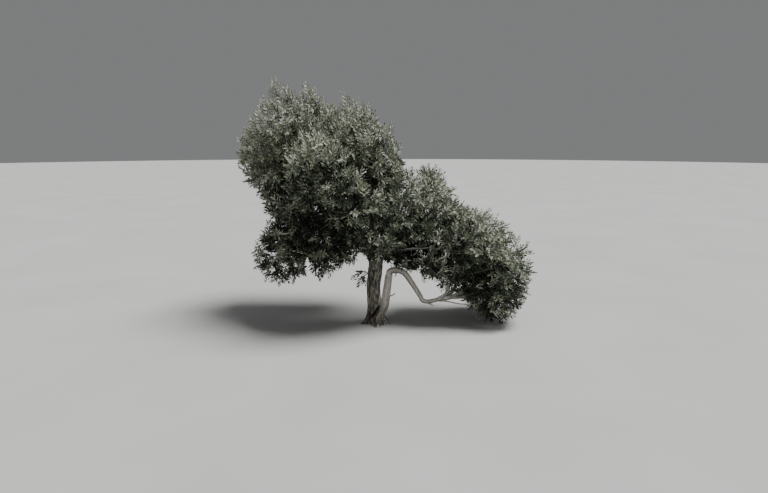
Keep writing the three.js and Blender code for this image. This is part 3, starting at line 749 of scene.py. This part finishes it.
def bark_material():
    """Grey bark: paler where it has lichen, and palest on the bare low limb, whose top is lit with painted light.
    Painted shade makes it nearly black in the grooves, the cleft, under the bare wood and at the top of the
    trunk.
    """
    material, plan, shader = new_material("olive_bark")
    grain, age, pale, dark = (
        plan.add("ShaderNodeAttribute", {"attribute_name": name})[output]
        for name, output in (("grain", "Vector"), ("age", "Fac"), ("pale", "Fac"), ("dark", "Fac"))
    )
    drawn_out = plan.add("ShaderNodeVectorMath", {"operation": "MULTIPLY"}, {0: grain, 1: (1.0, 1.0, 0.2)})
    crease = speckle(plan, drawn_out, 70.0, 5.0, 0.62)
    hair = speckle(plan, drawn_out, 240.0, 3.0)
    patch = speckle(plan, grain, 13.0, 4.0)
    # the rough bark's colour goes nearly black where the creases of its bump sink: painted shade
    rough_tone = ramp(
        plan,
        crease,
        (0.36, (0.022, 0.020, 0.017)),
        (0.48, (0.190, 0.173, 0.145)),
        (0.62, (0.540, 0.500, 0.430)),
    )
    smooth_tone = ramp(
        plan,
        hair * 0.45 + patch * 0.55,
        (0.36, (0.150, 0.136, 0.114)),
        (0.52, (0.255, 0.235, 0.200)),
        (0.70, (0.360, 0.335, 0.290)),
    )
    bare_tone = ramp(
        plan,
        hair * 0.4 + crease * 0.6,
        (0.37, (0.400, 0.372, 0.325)),
        (0.50, (0.710, 0.672, 0.600)),
        (0.64, (0.880, 0.845, 0.775)),
    )
    lichen = plan.add(
        "ShaderNodeMapRange", None, {"Value": patch, "From Min": 0.56, "From Max": 0.70, "To Max": 0.40}
    )["Result"]
    lichen_grey, painted_shade_black = (0.36, 0.365, 0.31, 1), (0.022, 0.019, 0.016, 1)
    tone = mixed(plan, age, smooth_tone, rough_tone)
    tone = mixed(plan, pale * 0.85, tone, bare_tone)
    tone = mixed(plan, lichen, tone, lichen_grey)
    # painted shade, from the dark attribute, mixed in towards nearly black
    tone = mixed(plan, dark * 0.92, tone, painted_shade_black)
    height = crease * (0.3 + age * 0.7) + hair * 0.25
    bump = plan.add("ShaderNodeBump", None, {"Height": height, "Strength": 0.8, "Distance": 0.006})
    wire(plan, shader, Base_Color=tone, Roughness=0.98 - 0.2 * crease, Normal=bump)
    return material


bark.data.materials.clear()
bark.data.materials.append(bark_material())
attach(bark, "root")
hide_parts(*LIMBS)


# The twigs and shoots: each mass branches from its stem by one seeded rule. A new one always ends at the
# emptiest place of its mass, and leaves the older wood where that costs least. Long twigs come first, and the
# leafy shoots of the last two years fill what is left between them.
LEAF_REACH = 0.035  # how far the last leaves stand out past a shoot's end
INNER_SHELL, OUTER_SHELL = 0.40, 1.25
# an even spread of places: the steps of their three numbers, how many there are, and how far apart masses start
SPREAD = np.array([0.8191725134, 0.6710436067, 0.5497004779])
PLACES, APART = 3200, 29
BLEND = 4.0  # how sharply the crown's skin dips between two masses
LUMP, LUMP_DEPTH = 0.14, 0.22
STEP = 0.026  # between the points that a shoot may grow from
ACUTE = 0.25  # how much a shoot keeps to its carrier's direction
UNEVEN = 0.04  # how far chance moves a shoot's bend, for its length
THINNEST_FOOT, FOOT_SHARE = 1.4, 0.5  # a shoot's foot, for its own tip and for its carrier
MOST_LEAFY = 0.9
PAST = 0.035  # how far a shoot may pass the wall between two masses
WOOD_GAP = 0.012  # how far a shoot keeps off the limbs
STEM_POINTS, STEM_OVERLAP, STEM_BARE = 30, -0.1, 0.15

# The leaders: long upright shoots that stand out of the crown, by where each one ends. Side shoots grow beside
# them, to points that wind down from the tip.
LEADERS = {
    "peak_left": ((-1.130, -0.050, 2.885), (-0.990, -0.020, 2.800), (-0.925, -0.020, 2.715)),
    "peak_mid": ((-0.785, 0.060, 2.820), (-0.690, 0.080, 2.755), (-0.615, 0.080, 2.655)),
    "peak_right": (
        (-0.340, 0.000, 2.730),
        (-0.200, 0.010, 2.640),
        (-0.085, 0.010, 2.600),
        (-0.010, 0.000, 2.500),
    ),
    "shoulder": ((0.110, 0.000, 2.400),),
    "flank_left": ((-1.500, -0.050, 2.200),),
    "right_peak": ((0.615, 0.000, 1.895), (0.710, -0.020, 1.840)),
    "lobe_top": ((1.030, 0.000, 1.400), (1.410, 0.000, 1.290)),
}
SIDE_SHOOTS, SIDE_OFF, SIDE_TURN, SIDE_TOP, SIDE_STEP = 8, 0.062, 2.4, 0.015, 0.032
BESIDE = [
    (SIDE_OFF * math.cos(SIDE_TURN * k), SIDE_OFF * math.sin(SIDE_TURN * k), SIDE_TOP - SIDE_STEP * k)
    for k in range(1, SIDE_SHOOTS + 1)
]
LEADER_LEAFY = 0.24
PEAK_DROP = 0.62  # how much lower than its mass a peak's dome is, between its leaders

# The openings: where one looks through the tree or past it, or at a bare bough in the dark, seen from the camera.
# Each has its middle and half sizes on the upright plane through the trunk, and how far back it goes.
EYE = np.array([0.0976, -7.0, 2.2])
RAGGED, RAGGED_LUMPS = 0.6, (0.06, 0.20)  # how uneven their edges are, and the sizes of the lumps
OPENINGS = (
    ((-0.185, 0.790), (0.120, 0.115), 2.0),
    ((-0.819, 0.700), (0.050, 0.120), 2.0),
    ((0.462, 0.885), (0.230, 0.090), -0.14),
    ((-1.800, 1.320), (0.550, 0.490), 2.0),
    ((2.050, 1.350), (0.520, 0.550), 2.0),
    ((0.960, 1.830), (0.170, 0.170), 2.0),
    ((0.440, 1.970), (0.110, 0.160), 2.0),
)


def surface_of(half):
    """The surface of a rounded space, from its half sizes, by a power mean that is about 1 % off at most."""
    power = 1.6
    a, b, c = half**power
    return 4 * math.pi * ((a * b + a * c + b * c) / 3) ** (1 / power)


def lumps(points, size):
    """Smooth noise at points, between -1 and 1, with lumps of a size."""
    return np.array([noise.noise(Vector(point) / size) for point in points])


def in_crown(mass, points):
    """Whether points lie in the crown's lumpy skin, which runs on over the valleys between the masses."""
    total = sum(np.exp(-BLEND * (one.share_of(points) - 1)) for one in (mass, *mass.met))
    high = np.clip((points - mass.middle)[:, 2] / mass.half[2], 0, 1)
    return np.log(total) / BLEND + LUMP_DEPTH * lumps(points, LUMP) > PEAK_DROP * mass.spire * high


def on_front(points):
    """Where points are seen on the upright plane through the trunk: across and up."""
    off = points - EYE
    return (EYE[k] - EYE[1] * off[..., k] / off[..., 1] for k in (0, 2))


def in_opening(points):
    """Whether points stand in one of the openings."""
    across, up = on_front(points)
    ragged = 1 + RAGGED * sum(lumps(points, size) for size in RAGGED_LUMPS)
    found = np.zeros(points.shape[:-1], bool)
    for (x, z), (half_x, half_z), depth in OPENINGS:
        found |= (np.hypot((across - x) / half_x, (up - z) / half_z) < ragged) & (points[..., 1] < depth)
    return found


def shoot_ends(mass):
    """The places where shoots of a mass may end, spread evenly through its shell."""
    turn, rise, depth = np.modf(0.5 + (np.arange(PLACES) + APART * mass.seed)[:, None] * SPREAD)[0].T
    inner = (INNER_SHELL / OUTER_SHELL) ** 3
    out = np.cbrt(inner + (1 - inner) * depth)
    flat = np.sqrt(1 - (1 - 2 * rise) ** 2)
    around = 2 * np.pi * turn
    off = np.stack([flat * np.cos(around), flat * np.sin(around), 1 - 2 * rise], -1) * out[:, None]
    ends = mass.middle + off * mass.half * OUTER_SHELL
    ends = ends[in_crown(mass, ends + unit(ends - mass.middle) * LEAF_REACH)]
    return ends[mass.holds(ends, OUTER_SHELL, PAST) & ~in_opening(ends)]


class Wood:
    """Points on a mass's wood that a shoot may grow from."""

    SHORT, TURNED = 2, 0.35  # what a metre too short costs, and a metre that turns away

    def __init__(self):
        self.at = np.empty((0, 3))
        self.heading = np.empty((0, 3))
        self.radius = np.empty(0)
        self.path = np.empty(0)
        self.free = np.empty(0, bool)

    def grow(self, points, radii, before, start, end):
        """Adds points of a line between two shares of its length."""
        length = np.linalg.norm(np.diff(points, axis=0), axis=1).sum()
        count = max(1, round(length * (end - start) / STEP))
        share = start + (end - start) * np.arange(count + 1) / count
        spots = np.linspace(0, 1, len(points))
        self.at = np.vstack([self.at, between(share, spots, points)])
        way = unit(between(share, spots, np.gradient(points, axis=0)))
        self.heading = np.vstack([self.heading, way])
        self.radius = np.append(self.radius, np.interp(share, (0, 1), radii))
        self.path = np.append(self.path, before + length * share)
        self.free = np.append(self.free, np.ones(count + 1, bool))

    def carrier_of(self, end, wanted, reach_back):
        """The free point from which growing to `end` costs least."""
        gap = end - self.at
        far = np.linalg.norm(gap, axis=1)
        miss = far - wanted
        turn = 1 - np.einsum("ij,ij->i", gap, self.heading) / far
        cost = np.maximum(-self.SHORT * miss, miss) + self.TURNED * turn * far + reach_back * self.path
        return np.where(self.free, cost, np.inf).argmin()


shares = np.linspace(0, 1, 60)
limb_points = np.vstack([limb.route.at(shares) for limb in LIMBS.values()])
limb_radii = np.concatenate([limb.radius(shares) for limb in LIMBS.values()])


def off_wood(points):
    apart = np.linalg.norm(points[:, None] - limb_points[None], axis=2) - limb_radii[None]
    return apart.min() > WOOD_GAP


# Each generation: the length that is wanted, how many there are for each square metre of a mass's surface, how
# far it arches, how much a long way back to the stem tells against a carrier, where its own carriers are, the
# points in its line, the radius of its tip, and how much of its end is leafy. The last one goes on until the
# room between shoots is filled.
GENERATIONS = tuple(
    dict(zip(("wanted", "each", "arch", "back", "carries", "points", "tip", "leafy"), row))
    for row in (
        (0.420, 5.6, 0.10, 0.30, (0.15, 0.80), 9, 0.0019, 0.15),
        (0.250, 15, 0.14, 0.10, (0.15, 0.85), 7, 0.0015, 0.15),
        (0.130, None, 0.18, 0.02, (0.30, 0.70), 4, 0.0011, 0.13),
    )
)
ROOM = 0.064  # between the leafy parts of neighbouring shoots


def grow_mass(mass, chance):
    """The twigs and leafy shoots of one mass: (points, radii, length of the leafy end, generation) for each."""
    wood = Wood()
    wood.grow(mass.stem.at(np.linspace(0, 1, STEM_POINTS)), mass.stem_radii, 0, STEM_BARE, 1)
    ends = shoot_ends(mass)
    room = np.full(len(ends), np.inf)
    area = surface_of(mass.half)
    tips = LEADERS.get(mass.name, ())
    placed = {0: [np.array(tip) for tip in tips], 2: [np.add(tip, off) for tip in tips for off in BESIDE]}
    share = np.linspace(0 if mass.on_trunk else STEM_OVERLAP, 1, 12)
    overlap = np.minimum(share, 0)[:, None] * mass.stem.length * mass.stem.way(0)
    stem = mass.stem.at(np.maximum(share, 0)) + overlap
    grown = [(stem, np.interp(share, (0, 1), mass.stem_radii), 0, 0)]
    for nth, rule in enumerate(GENERATIONS):
        left = round(rule["each"] * area / mass.scale) if rule["each"] else len(ends)
        while left and len(ends):
            best = room.argmax()
            leads = bool(placed.get(nth))
            if room[best] < ROOM * mass.airy and not leads:
                break
            if leads:
                end = placed[nth].pop()
            else:
                end = ends[best]
                ends, room = np.delete(ends, best, 0), np.delete(room, best)
            k = wood.carrier_of(end, rule["wanted"] * mass.scale, rule["back"])
            foot, heading = wood.at[k], wood.heading[k]
            far = np.linalg.norm(end - foot)
            lift = rule["arch"] * far * (-mass.hang if mass.hang else 1)
            bend = (1 - ACUTE) * (foot + end) / 2 + ACUTE * (foot + heading * far / 2) - (0, 0, lift)
            bend += chance.normal(0, UNEVEN * far, 3)
            t = np.linspace(0, 1, rule["points"])[:, None]
            line = (1 - t) ** 2 * foot + 2 * t * (1 - t) * bend + t**2 * end
            outer = line[len(line) // 3 :]
            if not mass.holds(outer, OUTER_SHELL, PAST).all() or in_opening(outer).any() or not off_wood(outer):
                continue
            left -= 1
            radii = (max(rule["tip"] * THINNEST_FOOT, FOOT_SHARE * wood.radius[k]), rule["tip"])
            wood.free[k] = False
            length = np.linalg.norm(np.diff(line, axis=0), axis=1).sum()
            wood.grow(line, radii, wood.path[k], *rule["carries"])
            leafy = min(LEADER_LEAFY if leads and nth == 0 else rule["leafy"], length * MOST_LEAFY)
            grown.append((line, np.interp(t[:, 0], (0, 1), radii), leafy, nth))
            share = 1 - leafy / length * np.linspace(0, 1, 6)
            filled = between(share, np.linspace(0, 1, len(line)), line)
            near = np.linalg.norm(ends[:, None] - filled[None], axis=2).min(axis=1)
            room = np.minimum(room, near)
    return grown


GROWN = {}
for mass in MASSES.values():
    GROWN[mass.name] = grow_mass(mass, np.random.default_rng(100 + mass.seed))


def lines_object(name, lines, **attributes):
    """An object of bare edges: one run for each line, with an attribute's values at its points."""
    counts = [len(line) for line in lines]
    starts = np.append(0, np.cumsum(counts))
    edges = [(i, i + 1) for a, b in zip(starts, starts[1:]) for i in range(a, b - 1)]
    mesh = bpy.data.meshes.new(name)
    mesh.from_pydata(np.vstack(lines).tolist(), edges, [])
    for title, values in attributes.items():
        values = np.concatenate(values)
        kind = "INT" if values.dtype.kind == "i" else "FLOAT"
        mesh.attributes.new(title, kind, "POINT").data.foreach_set("value", values)
    return put(name, mesh)


def new_tree(name, **inputs):
    """A Geometry Nodes tree with a geometry socket each way and the named inputs: plan and group input."""
    tree = bpy.data.node_groups.new(name, "GeometryNodeTree")
    tree.interface.new_socket("Geometry", in_out="INPUT", socket_type="NodeSocketGeometry")
    for title, kind in inputs.items():
        tree.interface.new_socket(title.replace("_", " "), in_out="INPUT", socket_type=kind)
    tree.interface.new_socket("Geometry", in_out="OUTPUT", socket_type="NodeSocketGeometry")
    plan = Plan(tree)
    return plan, plan.add("NodeGroupInput")


def run_tree(made, plan, **values):
    """Runs a tree on an object and keeps what it makes as the object's plain mesh."""
    modifier = made.modifiers.new(plan.tree.name, "NODES")
    modifier.node_group = plan.tree
    for item in plan.tree.interface.items_tree:
        title = item.name.replace(" ", "_")
        if item.in_out == "INPUT" and title in values:
            modifier[item.identifier] = values[title]
    return settle(made)


def told(plan, name, kind="FLOAT"):
    """What an attribute of the geometry says."""
    return plan.add("GeometryNodeInputNamedAttribute", {"data_type": kind}, {"Name": name})["Attribute"]


def twig_tree():
    """Round wood along every line of an object, as thick as the line's thickness attribute says."""
    plan, given = new_tree("round_wood", Sides="NodeSocketInt", Material="NodeSocketMaterial")
    lines = plan.add("GeometryNodeMeshToCurve", None, {"Mesh": given["Geometry"]})
    sized = plan.add("GeometryNodeSetCurveRadius", None, {"Curve": lines, "Radius": told(plan, "thickness")})
    ring = plan.add("GeometryNodeCurvePrimitiveCircle", None, {"Resolution": given["Sides"], "Radius": 1.0})
    scale = plan.add("GeometryNodeInputRadius")
    values = {"Curve": sized, "Profile Curve": ring, "Scale": scale, "Fill Caps": True}
    wood = plan.add("GeometryNodeCurveToMesh", None, values)
    smooth = plan.add("GeometryNodeSetShadeSmooth", None, {"Geometry": wood})
    whole = plan.add("GeometryNodeRealizeInstances", None, {"Geometry": smooth})
    values = {"Geometry": whole, "Material": given["Material"]}
    plan.add("NodeGroupOutput", None, {"Geometry": plan.add("GeometryNodeSetMaterial", None, values)})
    return plan


def twig_material(name, dark, light):
    """Thin bark: a plain run from dark to light with small spots, and no fissures."""
    material, plan, shader = new_material(name)
    spot = plan.add("ShaderNodeTexCoord")["Object"]
    spots = speckle(plan, spot, 45.0, 3.0)
    bump = plan.add("ShaderNodeBump", None, {"Height": spots, "Strength": 0.3, "Distance": 0.001})
    colour = ramp(plan, spots, (0.35, dark), (0.65, light))
    wire(plan, shader, Base_Color=colour, Roughness=0.8, Normal=bump)
    return material


round_wood = twig_tree()
for name, generations, sides, material in (
    ("twigs", (0, 1), 5, twig_material("twig_bark", (0.12, 0.108, 0.085), (0.27, 0.25, 0.205))),
    ("leafy_shoots", (2,), 3, twig_material("young_bark", (0.15, 0.155, 0.105), (0.26, 0.26, 0.19))),
):
    rows = [row for grown in GROWN.values() for row in grown if row[3] in generations]
    made = lines_object(name, [row[0] for row in rows], thickness=[row[1] for row in rows])
    run_tree(made, round_wood, Sides=sides, Material=material)
    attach(made, "root")


# The leaves: narrow and leathery, in opposite pairs, each pair a quarter turn from the last. They are dark
# grey-green above and silver with fine scales below, and 55 to 85 mm long but for those at a shoot's end. Each is
# a thin closed blade, folded a little along its rib, and a spray's leaves are all of one of five tones of painted
# light and shade.
LEAF_LENGTH = 0.076
SPACING = 0.019
SIZES, LEANS, TWIST = (0.72, 1.12), (0.62, 1.12), 0.35
LAST_SMALLER, LAST_CLOSER, LAST_POWER = 0.42, 0.55, 3.0
HALF_WIDTHS = ((0.27, 0.82 * 0.125), (0.60, 0.94 * 0.125))  # at two heights, for a leaf one unit long
FOLD, CURL = 0.036, 0.05


def leaf_blade():
    """A leaf one unit long that grows up Z from the origin, with its upper face to -X, ridged along the rib."""
    root, tip = (0, 0, 0), (CURL, 0, 1)
    left = [(FOLD, -half, height) for height, half in HALF_WIDTHS]
    right = [(x, -y, z) for x, y, z in left]
    corners = np.array([root, *left, tip, *reversed(right)])
    upper = [(0, 1, 3), (1, 2, 3), (0, 3, 5), (5, 3, 4)]
    under = [(0, 5, 1), (1, 5, 4), (1, 4, 2), (2, 4, 3)]
    made = mesh_object("leaf_blade", corners, upper + under)
    sides = [False] * len(upper) + [True] * len(under)
    made.data.attributes.new("under", "BOOLEAN", "FACE").data.foreach_set("value", sides)
    return made


# Painted light and shade: lit and shaded copies of the leaf colour, above and below, for the leaves of one spray,
# from the open top of the crown to the deep shade inside it. The first tone is in full light, the second (young)
# half lit, the third (full) in part shade, the fourth (deep) in deep shade, and the last nearly black in the
# deepest shade. Each tone has the share of the sprays that it is dealt to, by how much of the crown stands over
# them.
TONES = (
    ("dusty", (0.225, 0.243, 0.178), (0.500, 0.517, 0.437)),
    ("young", (0.150, 0.176, 0.094), (0.380, 0.405, 0.320)),
    ("full", (0.068, 0.086, 0.046), (0.240, 0.265, 0.205)),
    ("deep", (0.026, 0.035, 0.018), (0.098, 0.115, 0.080)),
    ("old", (0.009, 0.012, 0.006), (0.026, 0.031, 0.022)),
)
TONE_SHARES = (0.16, 0.14, 0.23, 0.10, 0.37)
# what stands over a spray tells up to a distance and from steeply above it, and chance and clumps mix the tones
SHADING, OWN_SPRAY, STEEP, MIXED, CLUMPED = 0.40, 0.05, 0.5, 1.0, 2.2

# Hollows of deep shade, and parts that the light reaches from the side, on the upright plane through the trunk:
# the middle, the half sizes, and how much darker each is
HOLLOWS = (
    ((-0.565, 1.860), (0.20, 0.15), 16.0),
    ((-0.840, 1.640), (0.18, 0.14), 9.0),
    ((-0.280, 1.540), (0.17, 0.12), 10.0),
    ((-0.515, 1.200), (0.30, 0.28), 5.0),
    ((0.540, 0.820), (0.26, 0.13), 3.0),
    ((1.270, 0.400), (0.30, 0.30), 2.8),
    ((1.000, 0.700), (0.26, 0.20), 1.6),
    ((-0.090, 1.780), (0.15, 0.16), 0.5),
    ((-1.42, 1.99), (0.32, 0.50), 0.30),
    ((-1.10, 2.70), (0.45, 0.35), 0.4),
    ((-0.40, 2.50), (0.55, 0.30), 0.4),
    ((0.62, 1.60), (0.40, 0.30), 0.45),
    ((1.38, 0.96), (0.42, 0.24), 0.6),
)
spray_ends = np.array([row[0][-1] for grown in GROWN.values() for row in grown if row[2]])


def cover_over(points):
    """How much of the crown stands over points: the sprays steeply above each one, the near ones most."""
    off = spray_ends[None] - points[:, None]
    far = np.linalg.norm(off, axis=2)
    cover = ((off[..., 2] > STEEP * far) * (far > OWN_SPRAY) * np.exp(-far / SHADING)).sum(axis=1)
    across, up = on_front(points)
    for (x, z), (half_x, half_z), darker in HOLLOWS:
        cover *= darker ** np.exp(-(((across - x) / half_x) ** 2) - ((up - z) / half_z) ** 2)
    return cover * np.exp(-CLUMPED * lumps(points, LUMP))


def leaf_material(name, colour, roughness):
    """Plain leaf colour, glossy in the light and dull where it is dark."""
    material, plan, shader = new_material(name)
    least, most, steep = 0.05, 0.32, 4
    gloss = least + min(most, steep * max(colour))
    wire(plan, shader, Base_Color=(*colour, 1), Roughness=roughness, Specular_IOR_Level=gloss)
    return material


def leaf_tree():
    """Leaves in opposite pairs along every line of an object, and the last pair smaller and closed up."""
    plan, given = new_tree(
        "leaf_pairs",
        Leaf="NodeSocketObject",
        Length="NodeSocketFloat",
        Spacing="NodeSocketFloat",
        Seed="NodeSocketInt",
    )
    lines = plan.add("GeometryNodeMeshToCurve", None, {"Mesh": given["Geometry"]})
    values = {"Curve": lines, "Length": given["Spacing"]}
    nodes = plan.add("GeometryNodeCurveToPoints", {"mode": "LENGTH"}, values)
    share = told(plan, "share")
    index = plan.add("GeometryNodeInputIndex")
    values = {"Object": given["Leaf"], "As Instance": True}
    blade = plan.add("GeometryNodeObjectInfo", None, values)["Geometry"]

    def chance(low, high, nth):
        values = {"Min": low, "Max": high, "Seed": given["Seed"] + nth}
        return plan.add("FunctionNodeRandomValue", {"data_type": "FLOAT"}, values)

    def turned(rotation, axis, angle):
        """A rotation turned about one of its own axes."""
        values = {"Rotation": rotation, "Rotate By": plan.add("ShaderNodeCombineXYZ", None, {axis: angle})}
        return plan.add("FunctionNodeRotateRotation", {"rotation_space": "LOCAL"}, values)

    close = share.math("POWER", share, LAST_POWER)
    joined = plan.add("GeometryNodeJoinGeometry")
    for side in (0, 1):
        turn = index * (math.pi / 2) + chance(-TWIST, TWIST, 3 * side) + side * math.pi
        lean = chance(*LEANS, 3 * side + 1) * (1 - close * LAST_CLOSER)
        size = given["Length"] * chance(*SIZES, 3 * side + 2) * (1 - close * LAST_SMALLER)
        rotation = turned(turned(nodes["Rotation"], "Z", turn), "Y", lean)
        values = {"Points": nodes["Points"], "Instance": blade, "Rotation": rotation, "Scale": size}
        leaves = plan.add("GeometryNodeInstanceOnPoints", None, values)
        plan.tree.links.new(leaves.socket, joined.node.inputs[0])
    made = plan.add("GeometryNodeRealizeInstances", None, {"Geometry": joined})
    tone, under = told(plan, "tone", "INT"), told(plan, "under", "BOOLEAN")
    for k, (name, above, below) in enumerate(TONES):
        this = plan.add("FunctionNodeCompare", {"data_type": "INT", "operation": "EQUAL"}, {"A": tone, "B": k})
        both = plan.add("FunctionNodeBooleanMath", {"operation": "AND"}, {0: this, 1: under})
        for chosen, material in (
            (this, leaf_material(f"leaf_{name}_above", above, 0.40)),
            (both, leaf_material(f"leaf_{name}_below", below, 0.78)),
        ):
            values = {"Geometry": made, "Selection": chosen, "Material": material}
            made = plan.add("GeometryNodeSetMaterial", None, values)
    plan.add("NodeGroupOutput", None, {"Geometry": made})
    return plan


LEAF_PIECES = {
    "leaves_left": ("peak_left", "flank_left", "low_left", "skirt_left"),
    "leaves_crown": ("peak_mid", "peak_right", "shoulder", "trunk_sprout"),
    "leaves_front": ("front_upper", "front_mid", "skirt_front", "skirt_fork", "front_right"),
    "leaves_right": ("right_mid", "right_peak", "right_inner", "skirt_right", "lobe_inner"),
    "leaves_lobe": ("lobe_top", "lobe_outer", "lobe_low"),
    "leaves_back_left": ("back_left", "back_peak", "back_low"),
    "leaves_back_right": ("back_right", "back_lobe", "lobe_back"),
}

LEAFY_POINTS = 8  # on each leafy end
PARTS = 12  # the sprays are compared with each other a part at a time, for the room that it takes
DEAL_SEED = 7

blade = leaf_blade()
leaf_pairs = leaf_tree()
deal = np.random.default_rng(DEAL_SEED)
cover = np.concatenate([cover_over(some) for some in np.array_split(spray_ends, PARTS)])
shade_steps = np.quantile(cover * deal.lognormal(0, MIXED, len(cover)), np.cumsum(TONE_SHARES)[:-1])
for seed, (name, masses) in enumerate(LEAF_PIECES.items()):
    lines = []
    for line, _, leafy, _ in (row for mass in masses for row in GROWN[mass] if row[2]):
        marks = marks_of(line)
        lines.append(between(marks[-1] - leafy * np.linspace(1, 0, LEAFY_POINTS), marks, line))
    # each spray's tone paints light or shade on it, by how much of the crown stands over it
    shade = cover_over(np.array([line[-1] for line in lines])) * deal.lognormal(0, MIXED, len(lines))
    tones = [np.full(LEAFY_POINTS, tone, np.int32) for tone in np.searchsorted(shade_steps, shade)]
    shares = [np.linspace(0, 1, LEAFY_POINTS)] * len(lines)
    made = lines_object(name, lines, share=shares, tone=tones)
    run_tree(made, leaf_pairs, Leaf=blade, Length=LEAF_LENGTH, Spacing=SPACING, Seed=10 * seed)
    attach(made, "root")
    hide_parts(*[f"foliage_{mass}" for mass in masses])
bpy.data.objects.remove(blade)


# The studio: a pale round floor, one broad soft light high on the right, and an even pale surround. The camera
# stands 7 m off with its lens 2.2 m above the ground and looks down a little.
FLOOR_RADIUS, FLOOR_SIDES = 60, 96
LIGHT_SPREAD, LIGHT_STRENGTH, LIGHT_TURN = 30, 5.0, (5, 24, 0)
SURROUND, SURROUND_STRENGTH = (0.82, 0.83, 0.84, 1), 0.25
LENS_PIXELS, PHOTO_WIDTH, SENSOR, LOOKS_DOWN = 597, 768, 36, 10.2077


def floor_material():
    material, plan, shader = new_material("studio_floor")
    cloud = speckle(plan, plan.add("ShaderNodeTexCoord")["Object"], 0.6, 2.0)
    tone = ramp(plan, cloud, (0.3, (0.45, 0.45, 0.44)), (0.7, (0.49, 0.49, 0.48)))
    wire(plan, shader, Base_Color=tone, Roughness=0.85)
    return material


turn = np.linspace(0, 2 * np.pi, FLOOR_SIDES, endpoint=False)
rim = np.stack([FLOOR_RADIUS * np.cos(turn), FLOOR_RADIUS * np.sin(turn), 0 * turn], -1)
floor = mesh_object("floor", rim, [tuple(range(FLOOR_SIDES))])
floor.data.materials.append(floor_material())

sun = put("high_light", bpy.data.lights.new("high_light", "SUN"))
sun.data.angle = math.radians(LIGHT_SPREAD)
sun.data.energy = LIGHT_STRENGTH
sun.rotation_euler = [math.radians(degrees) for degrees in LIGHT_TURN]

world = bpy.data.worlds.new("surround")
world.use_nodes = True
world.node_tree.nodes["Background"].inputs["Color"].default_value = SURROUND
world.node_tree.nodes["Background"].inputs["Strength"].default_value = SURROUND_STRENGTH
bpy.context.scene.world = world

camera = put("camera", bpy.data.cameras.new("camera"))
camera.data.sensor_width = SENSOR
camera.data.lens = SENSOR * LENS_PIXELS / PHOTO_WIDTH
camera.location = EYE
camera.rotation_euler = (math.radians(90 - LOOKS_DOWN), 0, 0)
bpy.context.scene.camera = camera
